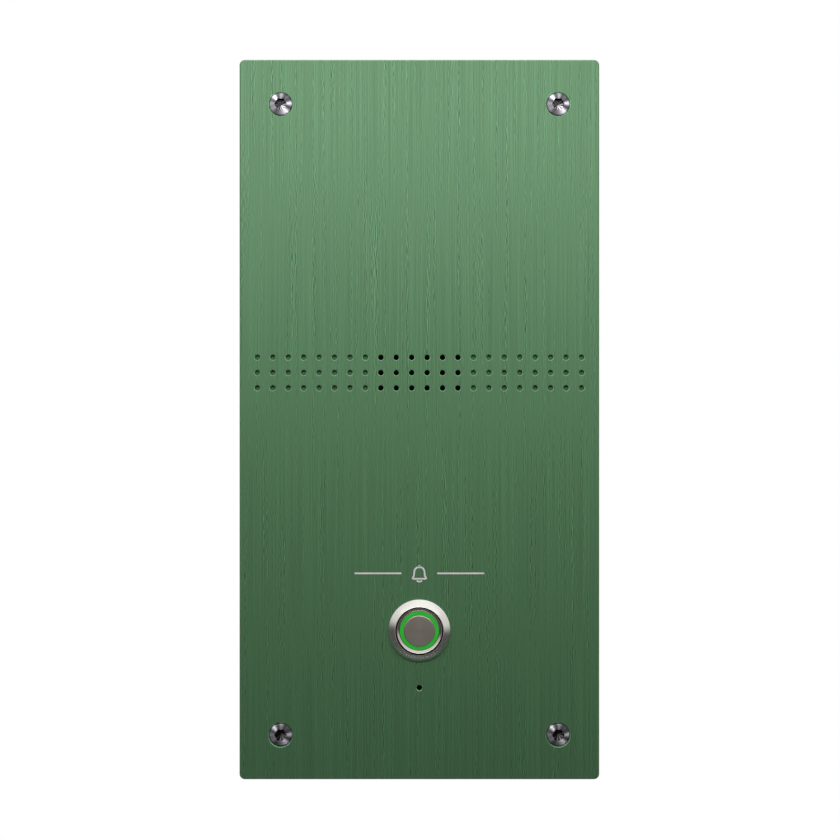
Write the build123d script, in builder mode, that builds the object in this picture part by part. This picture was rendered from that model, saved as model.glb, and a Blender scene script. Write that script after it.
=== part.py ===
from build123d import *
import os

# A flush-mounted door station for one call: a brushed metal faceplate with a drilled sound grille,
# a ring-lit push switch and a microphone, in front of a moulded housing that goes into the wall.
# Millimetres. X runs to the right and Z up, as seen from the street, and the front faces -Y.
# The origin is the middle of the faceplate's back face, which lies against the wall.
# Every depth below is counted from that face: positive into the wall, negative towards the street.

os.makedirs("parts", exist_ok=True)

# Faceplate
plate_width = 100.0
plate_height = 200.0
plate_thickness = 3.0
plate_corner_radius = 1.5
plate_edge_bevel = 0.4

# Sound grille: the middle columns are drilled through, the outer ones are blind dimples
grille_height = 13.0
grille_side_margin = 5.0
hole_diameter = 1.5
hole_row_spacing = 4.25
hole_rows = 3
through_columns = 6
blind_columns = 8
blind_depth = 0.6

# Seal between the faceplate's rim and the wall
wall_seal_inset = 5.2
wall_groove_width = 3.0
wall_groove_depth = 1.0
wall_seal_side_clearance = 0.15
wall_seal_proud = 0.8

# Four hexagon-socket screws that hold the station to its wall box
screw_side_inset = 11.45
screw_end_inset = 12.4
head_diameter = 6.2
head_proud = 0.25
head_rim_bevel = 0.3
head_clearance = 0.15
head_recess_depth = 2.0
head_recess_bevel = 0.25
head_washer_thickness = 0.4
head_washer_clearance = 0.05
socket_across_flats = 3.0
socket_depth = 1.2
socket_point_depth = 0.45
screw_neck_diameter = 3.5
screw_thread_diameter = 4.0
screw_hole_clearance = 0.25
screw_neck_past_plate = 0.35
screw_length_past_plate = 18.0
screw_tip_bevel = 0.6

# Push switch
button_up_from_bottom = 41.5
bezel_diameter = 17.2
bezel_edge_thickness = 0.35
bezel_rise = 1.9
bezel_rim_width = 0.2
barrel_diameter = 16.0
barrel_hole_clearance = 0.1
barrel_depth = 14.0
barrel_guide_wall = 1.45
barrel_rear_wall = 0.9
barrel_shoulder_depth = 0.3
cap_clearance = 0.3
cap_below_rim = 0.35
cap_rim_width = 0.1
cap_slope_depth = 0.6
cap_lip_thickness = 0.6
cap_lip_clearance = 0.1
cap_opening_diameter = 10.0
light_ring_outer_diameter = 10.7
light_ring_inner_diameter = 8.8
light_ring_floor_thickness = 1.6
light_ring_clearance = 0.03
face_proud_of_ring = 0.6
face_thickness = 1.35
face_edge_bevel = 0.2
plunger_clearance = 0.05
stem_diameter = 4.0
stem_length = 10.0
stem_clearance = 0.3
button_travel = 1.5
contact_gap = 0.05
contact_bridge_diameter = 3.8
contact_bridge_thickness = 0.4
lamp_board_depth = 4.2
lamp_board_thickness = 0.8
lamp_board_hole_diameter = 7.2
lamp_size = 1.4
lamp_height = 0.7
lamp_count = 6
lamp_circle_diameter = 9.0
base_clearance = 0.05
base_collar_diameter = 15.4
base_collar_thickness = 3.0
spring_seat_diameter = 7.2
spring_seat_depth = 1.5
spring_mean_diameter = 5.8
spring_wire = 0.5
spring_turns = 4
terminal_spacing = 3.0
terminal_count = 4
terminal_width = 1.2
terminal_thickness = 0.6
terminal_length = 5.0
button_seal_diameter = 21.0
button_seal_thickness = 1.0
button_nut_across_flats = 19.0
button_nut_thickness = 3.0
nut_thread_clearance = 0.05

# Loudspeaker
speaker_diameter = 40.0
speaker_flange_width = 3.2
speaker_gasket_thickness = 1.2
speaker_flange_thickness = 0.8
speaker_ledge_width = 1.0
basket_thickness = 0.8
basket_depth = 7.0
basket_neck_diameter = 21.0
basket_window_count = 4
basket_window_width = 11.0
surround_thickness = 0.3
surround_width = 3.0
surround_roll_height = 1.0
cone_thickness = 0.35
cone_lap = 0.6
cone_depth = 3.6
coil_diameter = 10.0
coil_wall = 0.3
coil_length = 5.2
dust_cap_rise = 1.2
coil_clearance = 0.4
top_plate_thickness = 1.2
magnet_diameter = 20.0
magnet_bore_diameter = 13.0
magnet_thickness = 2.8
yoke_thickness = 1.2
membrane_width = 28.0
membrane_height = 14.0
membrane_thickness = 0.25
clamp_ring_overlap = 2.2
clamp_ring_width = 7.2
clamp_ring_thickness = 0.8
clamp_circle_diameter = 45.0
clamp_screw_count = 4
clamp_pillar_diameter = 5.0
clamp_screw_diameter = 2.0
clamp_screw_head_diameter = 3.8
clamp_screw_head_height = 1.3
clamp_screw_length = 2.5
speaker_terminal_size_x = 8.0
speaker_terminal_size_z = 4.5
speaker_terminal_thickness = 0.8

# Microphone
microphone_up_from_bottom = 25.5
microphone_hole_diameter = 1.5
microphone_diameter = 6.0
microphone_thickness = 2.7
microphone_pin_spacing = 2.54
microphone_pin_width = 0.6
microphone_pin_length = 1.3
boot_wall = 1.2
boot_front = 1.2
boot_rear_lip = 0.8
boot_bore_diameter = 2.4
boot_rear_opening = 4.4
screen_diameter = 4.0
screen_thickness = 0.2

# Moulded rear housing
housing_side_inset = 10.0
housing_end_inset = 16.5
housing_clear_of_relay = 1.4
housing_wall = 2.0
housing_corner_radius = 8.0
housing_rear_round = 2.5
housing_rim_width = 4.0
housing_rim_depth = 4.0
housing_groove_width = 2.0
housing_groove_depth = 1.4
housing_groove_inset = 1.0
housing_seal_clearance = 0.1
rib_thickness = 1.2
rib_depth = 2.5
rib_side_inset = 12.0
rib_spacing = 10.0
rib_count = 3
rib_up_from_bottom = 27.5
pillar_diameter = 6.0
pillar_inset = 8.5
pillar_length = 24.0
pillar_thread_depth = 8.0
housing_boss_diameter = 8.0
housing_screw_diameter = 3.0
housing_screw_length = 11.0
housing_screw_head_diameter = 5.5
housing_screw_head_height = 2.0
housing_screw_recess_depth = 2.4
housing_screw_slot_width = 0.8
housing_screw_slot_depth = 1.0
thread_clearance = 0.05
shank_clearance = 0.2
head_side_clearance = 0.25

# Main circuit board
board_side_inset = 9.5
board_above_button = 16.55
board_below_housing_top = 17.5
board_depth = 17.0
board_thickness = 1.6
board_corner_radius = 2.0
board_hole_inset = 4.0
board_pillar_diameter = 5.5
board_screw_diameter = 3.0
board_screw_head_diameter = 5.0
board_screw_head_height = 1.8
board_screw_length = 6.0

# Connectors in the open well at the back of the housing
well_below_board_top = 20.0
well_side_inset = 2.0
well_size_z = 21.0
well_wall = 1.6
well_corner_radius = 2.0
well_gasket_thickness = 0.8
connector_gap = 2.2
jack_width = 15.8
jack_size_z = 13.4
jack_length = 15.0
jack_mouth_width = 11.8
jack_mouth_size_z = 7.0
jack_mouth_depth = 11.5
jack_latch_width = 6.2
jack_latch_size_z = 2.4
jack_contact_count = 8
jack_contact_spacing = 1.02
jack_contact_wire = 0.4
jack_contact_reach = 1.6
header_pin_spacing = 3.81
header_end_margin = 2.0
header_size_z = 9.2
header_length = 9.4
header_wall = 0.9
header_floor = 2.2
header_pin = 1.0
header_pin_rise = 5.6

# Parts on the main board: places are shares of its half width, and of its height below the well
relay_width = 15.5
relay_size_z = 20.0
relay_height = 12.0
relay_share = (-0.525, 0.264)
relay_edge_bevel = 0.5
capacitor_diameter = 8.0
capacitor_length = 11.0
capacitor_spacing = 9.5
capacitor_count = 3
capacitor_share = (-0.459, 0.896)
capacitor_edge_bevel = 0.5
inductor_size = 12.0
inductor_height = 6.5
inductor_base_height = 2.0
inductor_core_diameter = 9.0
inductor_share = (0.721, 0.843)
transformer_width = 16.0
transformer_size_z = 12.0
transformer_height = 6.0
transformer_share = (-0.59, 0.685)
processor_size = 15.0
processor_thickness = 1.4
processor_share = (0.262, 0.527)
heatsink_base = 1.5
heatsink_height = 7.0
heatsink_fins = 6
heatsink_fin_thickness = 1.0
chip_width = 6.0
chip_size_z = 5.0
chip_height = 1.5
chip_shares = [(0.787, 0.211), (0.262, 0.237), (0.852, 0.58), (0.295, 0.87)]

# Sockets on the board for the wiring of the switch, the loudspeaker and the microphone
socket_size = 5.8
socket_height = 6.0
socket_end_margin = 2.0
button_socket_up = 4.0
speaker_socket_up = 31.5
microphone_socket_side = 13.0

# Places worked out from the sizes above
plate_front = -plate_thickness
plate_bottom = -plate_height / 2
grille_columns = through_columns + 2 * blind_columns
hole_column_spacing = (plate_width - 2 * grille_side_margin) / (grille_columns - 1)
blind_middle = (through_columns + blind_columns) * hole_column_spacing / 2
screw_span_x = plate_width - 2 * screw_side_inset
screw_span_z = plate_height - 2 * screw_end_inset
button_height = plate_bottom + button_up_from_bottom
microphone_height = plate_bottom + microphone_up_from_bottom
bezel_front = plate_front - bezel_rise
cap_front = bezel_front + cap_below_rim
barrel_radius = barrel_diameter / 2
guide_radius = barrel_radius - barrel_guide_wall
barrel_rear_radius = barrel_radius - barrel_rear_wall
cap_radius = guide_radius - cap_clearance
cap_back = barrel_shoulder_depth + cap_lip_thickness
cap_opening_radius = cap_opening_diameter / 2
ring_front = cap_front + cap_slope_depth
ring_outer_radius = light_ring_outer_diameter / 2
ring_inner_radius = light_ring_inner_diameter / 2
face_front = ring_front - face_proud_of_ring
face_back = face_front + face_thickness
ring_back = face_back + light_ring_floor_thickness
stem_end = cap_back + stem_length
bridge_end = stem_end + contact_bridge_thickness
contact_depth = bridge_end + button_travel + contact_gap
lamp_front = lamp_board_depth - lamp_height
base_front = lamp_board_depth + lamp_board_thickness
base_rear = barrel_depth + base_collar_thickness
terminal_end = base_rear + terminal_length
spring_rear = base_front + spring_seat_depth

speaker_radius = speaker_diameter / 2
flange_inner_radius = speaker_radius - speaker_flange_width
flange_front = speaker_gasket_thickness
flange_back = flange_front + speaker_flange_thickness
surround_back = flange_front + surround_thickness
ledge_radius = flange_inner_radius - speaker_ledge_width
cone_lap_radius = ledge_radius - surround_width
cone_outer_radius = cone_lap_radius - cone_lap
basket_back = flange_back + basket_depth
basket_floor = basket_back - basket_thickness
neck_radius = basket_neck_diameter / 2
coil_radius = coil_diameter / 2
cone_neck = surround_back + cone_depth
coil_outer_radius = coil_radius + coil_wall
plate_bore_radius = coil_outer_radius + coil_clearance
pole_radius = coil_radius - coil_clearance
top_plate_back = basket_back + top_plate_thickness
magnet_back = top_plate_back + magnet_thickness
yoke_back = magnet_back + yoke_thickness
clamp_back = flange_back + clamp_ring_thickness
clamp_inner_radius = speaker_radius - clamp_ring_overlap
clamp_outer_radius = clamp_inner_radius + clamp_ring_width

housing_width = plate_width - 2 * housing_side_inset
housing_height = plate_height - 2 * housing_end_inset
rib_height = rib_up_from_bottom - housing_height / 2
rib_length = housing_width - 2 * rib_side_inset
board_width = housing_width - 2 * board_side_inset
board_bottom = button_height + board_above_button
board_top = housing_height / 2 - board_below_housing_top
board_back = board_depth + board_thickness
housing_inside = board_back + relay_height + housing_clear_of_relay
housing_depth = housing_inside + housing_wall
board_middle = (board_top + board_bottom) / 2
board_height = board_top - board_bottom
well_front = board_back + well_gasket_thickness
well_height = board_top - well_below_board_top
well_width = board_width - 2 * well_side_inset
well_bottom = well_height - well_size_z / 2 - well_wall
header_room = well_width - jack_width - 3 * connector_gap
header_poles = int((header_room - 2 * header_end_margin) / header_pin_spacing)
header_width = header_poles * header_pin_spacing + 2 * header_end_margin
jack_offset = connector_gap + jack_width / 2 - well_width / 2
header_offset = well_width / 2 - connector_gap - header_width / 2
pillar_span_x = housing_width - 2 * pillar_inset
pillar_span_z = housing_height - 2 * pillar_inset
board_hole_span_x = board_width - 2 * board_hole_inset
board_hole_span_z = board_height - 2 * board_hole_inset
microphone_back = boot_front + microphone_thickness
boot_radius = microphone_diameter / 2 + boot_wall
button_socket_height = board_bottom + button_socket_up
speaker_socket_height = grille_height + speaker_socket_up
speaker_terminal_height = grille_height + clamp_inner_radius + speaker_terminal_size_z / 2


def level(depth):
    """The plane across the station at this depth: x to the right, y up, facing the street."""
    return Plane.XZ.offset(-depth)


def half_section(height):
    """The plane through a round part's axis at this height: x is the radius, y the depth."""
    return Plane.XY.offset(height)


def depth_axis(height):
    """The axis of a round part at this height, running into the wall."""
    return Axis((0, 0, height), (0, 1, 0))


def screw_corners():
    return GridLocations(screw_span_x, screw_span_z, 2, 2)


def clamp_corners():
    return PolarLocations(clamp_circle_diameter / 2, clamp_screw_count, start_angle=45)


def housing_corners():
    return GridLocations(pillar_span_x, pillar_span_z, 2, 2)


def board_corners():
    return GridLocations(board_hole_span_x, board_hole_span_z, 2, 2)


def on_board(share):
    """The place on the board at this share of its half width and of its height below the well."""
    across, up = share
    return across * board_width / 2, board_bottom + up * (well_bottom - board_bottom)


def write(part, name):
    """Labels a finished part and writes its STEP file."""
    part.label = name
    export_step(part, f"parts/{name}.step")


# Faceplate: the drilled and bevelled metal plate that shows on the wall
with BuildPart() as faceplate:
    with BuildSketch(level(0)):
        RectangleRounded(plate_width, plate_height, plate_corner_radius)
    extrude(amount=plate_thickness)
    with BuildSketch(level(plate_front)):
        with screw_corners():
            Circle(head_diameter / 2 + head_clearance)
    extrude(amount=-head_recess_depth, mode=Mode.SUBTRACT)
    front = faceplate.faces().sort_by(Axis.Y)[0]
    chamfer(front.outer_wire().edges(), plate_edge_bevel)
    chamfer(front.inner_wires().edges(), head_recess_bevel)
    with BuildSketch(level(plate_front)):
        with screw_corners():
            Circle(screw_thread_diameter / 2 + screw_hole_clearance)
        with Locations((0, grille_height)):
            with GridLocations(
                hole_column_spacing, hole_row_spacing, through_columns, hole_rows
            ):
                Circle(hole_diameter / 2)
        with Locations((0, button_height)):
            Circle(barrel_radius + barrel_hole_clearance)
        with Locations((0, microphone_height)):
            Circle(microphone_hole_diameter / 2)
    extrude(amount=-plate_thickness, mode=Mode.SUBTRACT)
    with BuildSketch(level(plate_front)):
        with Locations((-blind_middle, grille_height), (blind_middle, grille_height)):
            with GridLocations(hole_column_spacing, hole_row_spacing, blind_columns, hole_rows):
                Circle(hole_diameter / 2)
    extrude(amount=-blind_depth, mode=Mode.SUBTRACT)
    with BuildSketch(level(0)):
        RectangleRounded(
            plate_width - 2 * wall_seal_inset + wall_groove_width,
            plate_height - 2 * wall_seal_inset + wall_groove_width,
            plate_corner_radius + wall_groove_width / 2,
        )
        RectangleRounded(
            plate_width - 2 * wall_seal_inset - wall_groove_width,
            plate_height - 2 * wall_seal_inset - wall_groove_width,
            plate_corner_radius,
            mode=Mode.SUBTRACT,
        )
    extrude(amount=wall_groove_depth, mode=Mode.SUBTRACT)
write(faceplate.part, "faceplate")

# Wall seal: a rubber frame in the groove behind the plate's rim, standing proud of it
wall_seal_width = wall_groove_width - 2 * wall_seal_side_clearance
with BuildPart() as wall_seal:
    with BuildSketch(level(-wall_groove_depth)):
        RectangleRounded(
            plate_width - 2 * wall_seal_inset + wall_seal_width,
            plate_height - 2 * wall_seal_inset + wall_seal_width,
            plate_corner_radius + wall_seal_width / 2,
        )
        RectangleRounded(
            plate_width - 2 * wall_seal_inset - wall_seal_width,
            plate_height - 2 * wall_seal_inset - wall_seal_width,
            plate_corner_radius,
            mode=Mode.SUBTRACT,
        )
    extrude(amount=-(wall_groove_depth + wall_seal_proud))
    chamfer(wall_seal.faces().sort_by(Axis.Y)[-1].edges(), wall_seal_proud / 2)
write(wall_seal.part, "wall_seal")

# Mounting screws: low heads with hexagon sockets, a necked shank and a machine thread
head_front = plate_front - head_proud
head_back = plate_front + head_recess_depth - head_washer_thickness
with BuildPart() as mounting_screws:
    with BuildSketch(level(head_front)):
        with screw_corners():
            Circle(head_diameter / 2)
    extrude(amount=-(head_back - head_front))
    chamfer(mounting_screws.faces().group_by(Axis.Y)[0].edges(), head_rim_bevel)
    with BuildSketch(level(head_back)):
        with screw_corners():
            Circle(screw_neck_diameter / 2)
    extrude(amount=-(screw_neck_past_plate - head_back))
    with BuildSketch(level(screw_neck_past_plate)):
        with screw_corners():
            Circle(screw_thread_diameter / 2)
    extrude(amount=-(screw_length_past_plate - screw_neck_past_plate))
    chamfer(mounting_screws.faces().group_by(Axis.Y)[-1].edges(), screw_tip_bevel)
    with BuildSketch(level(head_front)):
        with screw_corners():
            RegularPolygon(socket_across_flats / 2, 6, major_radius=False)
    extrude(amount=-socket_depth, mode=Mode.SUBTRACT)
    with Locations(
        Plane(
            (0, head_front + socket_depth + socket_point_depth / 2, 0), (1, 0, 0), (0, -1, 0)
        )
    ):
        with screw_corners():
            Cone(0, socket_across_flats / 2, socket_point_depth, mode=Mode.SUBTRACT)
write(mounting_screws.part, "mounting_screws")

# Head washers: thin sealing washers at the bottom of the four recesses
with BuildPart() as head_washers:
    with BuildSketch(level(head_back)):
        with screw_corners():
            Circle(head_diameter / 2 + head_clearance - head_washer_clearance)
            Circle(screw_neck_diameter / 2 + head_washer_clearance, mode=Mode.SUBTRACT)
    extrude(amount=-head_washer_thickness)
write(head_washers.part, "head_washers")

# Push switch: the fixed bezel, a polished cone with a barrel through the plate behind it
with BuildPart() as button_bezel:
    with BuildSketch(half_section(button_height)):
        with BuildLine():
            Polyline(
                (guide_radius, bezel_front),
                (guide_radius + bezel_rim_width, bezel_front),
                (bezel_diameter / 2, plate_front - bezel_edge_thickness),
                (bezel_diameter / 2, plate_front),
                (barrel_radius, plate_front),
                (barrel_radius, barrel_depth),
                (barrel_rear_radius, barrel_depth),
                (barrel_rear_radius, barrel_shoulder_depth),
                (guide_radius, barrel_shoulder_depth),
                close=True,
            )
        make_face()
    revolve(axis=depth_axis(button_height))
write(button_bezel.part, "button_bezel")

# Switch seal and nut, which clamp the barrel to the back of the plate
with BuildPart() as button_seal:
    with BuildSketch(level(0)):
        with Locations((0, button_height)):
            Circle(button_seal_diameter / 2)
            Circle(barrel_radius + nut_thread_clearance, mode=Mode.SUBTRACT)
    extrude(amount=-button_seal_thickness)
write(button_seal.part, "button_seal")

with BuildPart() as button_nut:
    with BuildSketch(level(button_seal_thickness)):
        with Locations((0, button_height)):
            RegularPolygon(button_nut_across_flats / 2, 6, major_radius=False)
            Circle(barrel_radius + nut_thread_clearance, mode=Mode.SUBTRACT)
    extrude(amount=-button_nut_thickness)
write(button_nut.part, "button_nut")

# Switch cap: the moving metal ring, concave in front, with a lip that the barrel's shoulder holds
with BuildPart() as button_cap:
    with BuildSketch(half_section(button_height)):
        with BuildLine():
            Polyline(
                (cap_radius - cap_rim_width, cap_front),
                (cap_radius, cap_front),
                (cap_radius, barrel_shoulder_depth),
                (barrel_rear_radius - cap_lip_clearance, barrel_shoulder_depth),
                (barrel_rear_radius - cap_lip_clearance, cap_back),
                (cap_opening_radius, cap_back),
                (cap_opening_radius, ring_back),
                (ring_outer_radius + light_ring_clearance, ring_back),
                (ring_outer_radius + light_ring_clearance, ring_front),
                close=True,
            )
        make_face()
    revolve(axis=depth_axis(button_height))
write(button_cap.part, "button_cap")

# Light ring: a clear cup whose edge shows as the lit ring
with BuildPart() as button_light_ring:
    with BuildSketch(half_section(button_height)):
        with BuildLine():
            Polyline(
                (0, face_back),
                (ring_inner_radius, face_back),
                (ring_inner_radius, ring_front),
                (ring_outer_radius, ring_front),
                (ring_outer_radius, ring_back),
                (0, ring_back),
                close=True,
            )
        make_face()
    revolve(axis=depth_axis(button_height))
write(button_light_ring.part, "button_light_ring")

# Switch face: the flat metal disc in the middle of the ring
face_radius = ring_inner_radius - light_ring_clearance
with BuildPart() as button_face:
    with BuildSketch(half_section(button_height)):
        with BuildLine():
            Polyline(
                (0, face_front),
                (face_radius - face_edge_bevel, face_front),
                (face_radius, face_front + face_edge_bevel),
                (face_radius, face_back),
                (0, face_back),
                close=True,
            )
        make_face()
    revolve(axis=depth_axis(button_height))
write(button_face.part, "button_face")

# Plunger: clear, so that the lamps' light passes through its head to the ring
with BuildPart() as button_plunger:
    with BuildSketch(level(ring_back)):
        with Locations((0, button_height)):
            Circle(cap_opening_radius - plunger_clearance)
    extrude(amount=-(cap_back - ring_back))
    with BuildSketch(level(cap_back)):
        with Locations((0, button_height)):
            Circle(stem_diameter / 2)
    extrude(amount=-stem_length)
write(button_plunger.part, "button_plunger")

# Contact bridge: the metal disc on the end of the stem that joins the two contacts
with BuildPart() as contact_bridge:
    with BuildSketch(level(stem_end)):
        with Locations((0, button_height)):
            Circle(contact_bridge_diameter / 2)
    extrude(amount=-contact_bridge_thickness)
write(contact_bridge.part, "contact_bridge")

# Return spring between the plunger's head and its seat in the base
coil_rise = (spring_rear - cap_back - spring_wire) / spring_turns
with BuildPart() as button_spring:
    with BuildLine():
        coil = Helix(
            coil_rise,
            spring_turns * coil_rise,
            spring_mean_diameter / 2,
            center=(0, cap_back + spring_wire / 2, button_height),
            direction=(0, 1, 0),
        )
    with BuildSketch(Plane(coil @ 0, z_dir=coil % 0)):
        RegularPolygon(spring_wire / 2, 6)
    sweep(is_frenet=True)
write(button_spring.part, "button_spring")

# Lamp board: a ring-shaped circuit board round the spring
with BuildPart() as lamp_board:
    with BuildSketch(level(lamp_board_depth)):
        with Locations((0, button_height)):
            Circle(barrel_rear_radius - base_clearance)
            Circle(lamp_board_hole_diameter / 2, mode=Mode.SUBTRACT)
    extrude(amount=-lamp_board_thickness)
write(lamp_board.part, "lamp_board")

with BuildPart() as lamps:
    with BuildSketch(level(lamp_front)):
        with Locations((0, button_height)):
            with PolarLocations(lamp_circle_diameter / 2, lamp_count):
                Rectangle(lamp_size, lamp_size)
    extrude(amount=-lamp_height)
write(lamps.part, "lamps")

# Switch base: the black plug in the barrel's rear that carries the contacts
with BuildPart() as button_base:
    with BuildSketch(half_section(button_height)):
        with BuildLine():
            Polyline(
                (spring_seat_diameter / 2, base_front),
                (barrel_rear_radius - base_clearance, base_front),
                (barrel_rear_radius - base_clearance, barrel_depth),
                (base_collar_diameter / 2, barrel_depth),
                (base_collar_diameter / 2, base_rear),
                (0, base_rear),
                (0, contact_depth),
                (stem_diameter / 2 + stem_clearance, contact_depth),
                (stem_diameter / 2 + stem_clearance, spring_rear),
                (spring_seat_diameter / 2, spring_rear),
                close=True,
            )
        make_face()
    revolve(axis=depth_axis(button_height))
    with BuildSketch(level(base_rear)):
        with Locations((0, button_height)):
            with GridLocations(terminal_spacing, 0, terminal_count, 1):
                Rectangle(
                    terminal_width + 2 * base_clearance, terminal_thickness + 2 * base_clearance
                )
    extrude(amount=base_rear - contact_depth, mode=Mode.SUBTRACT)
    with BuildSketch(level(contact_depth)):
        with Locations((0, button_height)):
            with GridLocations((terminal_count - 1) * terminal_spacing, 0, 2, 1):
                Rectangle(
                    terminal_width + 2 * base_clearance, terminal_thickness + 2 * base_clearance
                )
    extrude(amount=contact_depth - base_front, mode=Mode.SUBTRACT)
write(button_base.part, "button_base")

# Switch terminals: the inner pair are the contacts, the outer pair feed the lamp board
with BuildPart() as button_terminals:
    with BuildSketch(level(terminal_end)):
        with Locations((0, button_height)):
            with GridLocations(terminal_spacing, 0, terminal_count, 1):
                Rectangle(terminal_width, terminal_thickness)
    extrude(amount=terminal_end - contact_depth)
    with BuildSketch(level(contact_depth)):
        with Locations((0, button_height)):
            with GridLocations((terminal_count - 1) * terminal_spacing, 0, 2, 1):
                Rectangle(terminal_width, terminal_thickness)
    extrude(amount=contact_depth - base_front)
write(button_terminals.part, "button_terminals")

# Loudspeaker: a membrane behind the grille, a gasket, and the basket with its windows
with BuildPart() as speaker_membrane:
    with BuildSketch(level(0)):
        with Locations((0, grille_height)):
            Rectangle(membrane_width, membrane_height)
    extrude(amount=-membrane_thickness)
write(speaker_membrane.part, "speaker_membrane")

with BuildPart() as speaker_gasket:
    with BuildSketch(level(0)):
        with Locations((0, grille_height)):
            Circle(speaker_radius)
            Circle(flange_inner_radius, mode=Mode.SUBTRACT)
    extrude(amount=-speaker_gasket_thickness)
write(speaker_gasket.part, "speaker_gasket")

window_radius = (flange_inner_radius + neck_radius) / 2
with BuildPart() as speaker_frame:
    with BuildSketch(half_section(grille_height)):
        with BuildLine():
            Polyline(
                (speaker_radius, flange_front),
                (flange_inner_radius, flange_front),
                (flange_inner_radius, surround_back),
                (ledge_radius, surround_back),
                (ledge_radius, flange_back),
                (neck_radius, basket_floor),
                (plate_bore_radius, basket_floor),
                (plate_bore_radius, basket_back),
                (neck_radius + basket_thickness, basket_back),
                (ledge_radius + basket_thickness, flange_back),
                (speaker_radius, flange_back),
                close=True,
            )
        make_face()
    revolve(axis=depth_axis(grille_height))
    with BuildSketch(level(flange_back + basket_thickness)):
        with Locations((0, grille_height)):
            with PolarLocations(window_radius, basket_window_count, start_angle=45):
                Rectangle(basket_depth, basket_window_width)
    extrude(amount=-(basket_depth - 3 * basket_thickness), mode=Mode.SUBTRACT)
write(speaker_frame.part, "speaker_frame")

# Surround: a soft corrugation between the basket's ledge and the cone
roll_middle = (ledge_radius + cone_lap_radius) / 2
roll_flat = surround_width / 6
with BuildPart() as speaker_surround:
    with BuildSketch(half_section(grille_height)):
        with BuildLine():
            Polyline(
                (flange_inner_radius, flange_front),
                (flange_inner_radius, surround_back),
                (ledge_radius, surround_back),
                (roll_middle + roll_flat, surround_back + surround_roll_height),
                (roll_middle - roll_flat, surround_back + surround_roll_height),
                (cone_lap_radius, surround_back),
                (cone_outer_radius, surround_back),
                (cone_outer_radius, flange_front),
                (cone_lap_radius, flange_front),
                (roll_middle - roll_flat, flange_front + surround_roll_height),
                (roll_middle + roll_flat, flange_front + surround_roll_height),
                (ledge_radius, flange_front),
                close=True,
            )
        make_face()
    revolve(axis=depth_axis(grille_height))
write(speaker_surround.part, "speaker_surround")

# Cone with its dust cap: paper, glued behind the surround's inner edge
with BuildPart() as speaker_cone:
    with BuildSketch(half_section(grille_height)):
        with BuildLine():
            Polyline(
                (0, cone_neck - dust_cap_rise),
                (0, cone_neck),
                (coil_outer_radius, cone_neck),
                (cone_lap_radius, surround_back + cone_thickness),
                (cone_lap_radius, surround_back),
                (cone_outer_radius, surround_back),
                (coil_radius, cone_neck - cone_thickness),
            )
            TangentArc(
                (0, cone_neck - dust_cap_rise),
                (coil_radius, cone_neck - cone_thickness),
                tangent=(1, 0),
            )
        make_face()
    revolve(axis=depth_axis(grille_height))
write(speaker_cone.part, "speaker_cone")

with BuildPart() as voice_coil:
    with BuildSketch(level(cone_neck)):
        with Locations((0, grille_height)):
            Circle(coil_outer_radius)
            Circle(coil_radius, mode=Mode.SUBTRACT)
    extrude(amount=-coil_length)
write(voice_coil.part, "voice_coil")

# Magnet system: top plate, ring magnet, and a yoke with the pole in its middle
with BuildPart() as speaker_top_plate:
    with BuildSketch(level(basket_back)):
        with Locations((0, grille_height)):
            Circle(magnet_diameter / 2)
            Circle(plate_bore_radius, mode=Mode.SUBTRACT)
    extrude(amount=-top_plate_thickness)
write(speaker_top_plate.part, "speaker_top_plate")

with BuildPart() as speaker_magnet:
    with BuildSketch(level(top_plate_back)):
        with Locations((0, grille_height)):
            Circle(magnet_diameter / 2)
            Circle(magnet_bore_diameter / 2, mode=Mode.SUBTRACT)
    extrude(amount=-magnet_thickness)
write(speaker_magnet.part, "speaker_magnet")

with BuildPart() as speaker_yoke:
    with BuildSketch(half_section(grille_height)):
        with BuildLine():
            Polyline(
                (0, basket_back),
                (pole_radius, basket_back),
                (pole_radius, magnet_back),
                (magnet_diameter / 2, magnet_back),
                (magnet_diameter / 2, yoke_back),
                (0, yoke_back),
                close=True,
            )
        make_face()
    revolve(axis=depth_axis(grille_height))
write(speaker_yoke.part, "speaker_yoke")

# Clamp ring: pressed onto the basket's flange by four screws in pillars on the plate
with BuildPart() as speaker_pillars:
    with BuildSketch(level(0)):
        with Locations((0, grille_height)):
            with clamp_corners():
                Circle(clamp_pillar_diameter / 2)
                Circle(clamp_screw_diameter / 2 + thread_clearance, mode=Mode.SUBTRACT)
    extrude(amount=-flange_back)
write(speaker_pillars.part, "speaker_pillars")

with BuildPart() as speaker_ring:
    with BuildSketch(level(flange_back)):
        with Locations((0, grille_height)):
            Circle(clamp_outer_radius)
            Circle(clamp_inner_radius, mode=Mode.SUBTRACT)
            with clamp_corners():
                Circle(clamp_screw_diameter / 2 + shank_clearance, mode=Mode.SUBTRACT)
    extrude(amount=-clamp_ring_thickness)
write(speaker_ring.part, "speaker_ring")

with BuildPart() as speaker_screws:
    with BuildSketch(level(clamp_back)):
        with Locations((0, grille_height)):
            with clamp_corners():
                Circle(clamp_screw_head_diameter / 2)
    extrude(amount=-clamp_screw_head_height)
    with BuildSketch(level(clamp_back)):
        with Locations((0, grille_height)):
            with clamp_corners():
                Circle(clamp_screw_diameter / 2)
    extrude(amount=clamp_screw_length)
write(speaker_screws.part, "speaker_screws")

with BuildPart() as speaker_terminals:
    with BuildSketch(level(clamp_back)):
        with Locations((0, speaker_terminal_height)):
            Rectangle(speaker_terminal_size_x, speaker_terminal_size_z)
    extrude(amount=-speaker_terminal_thickness)
write(speaker_terminals.part, "speaker_terminals")

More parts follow.
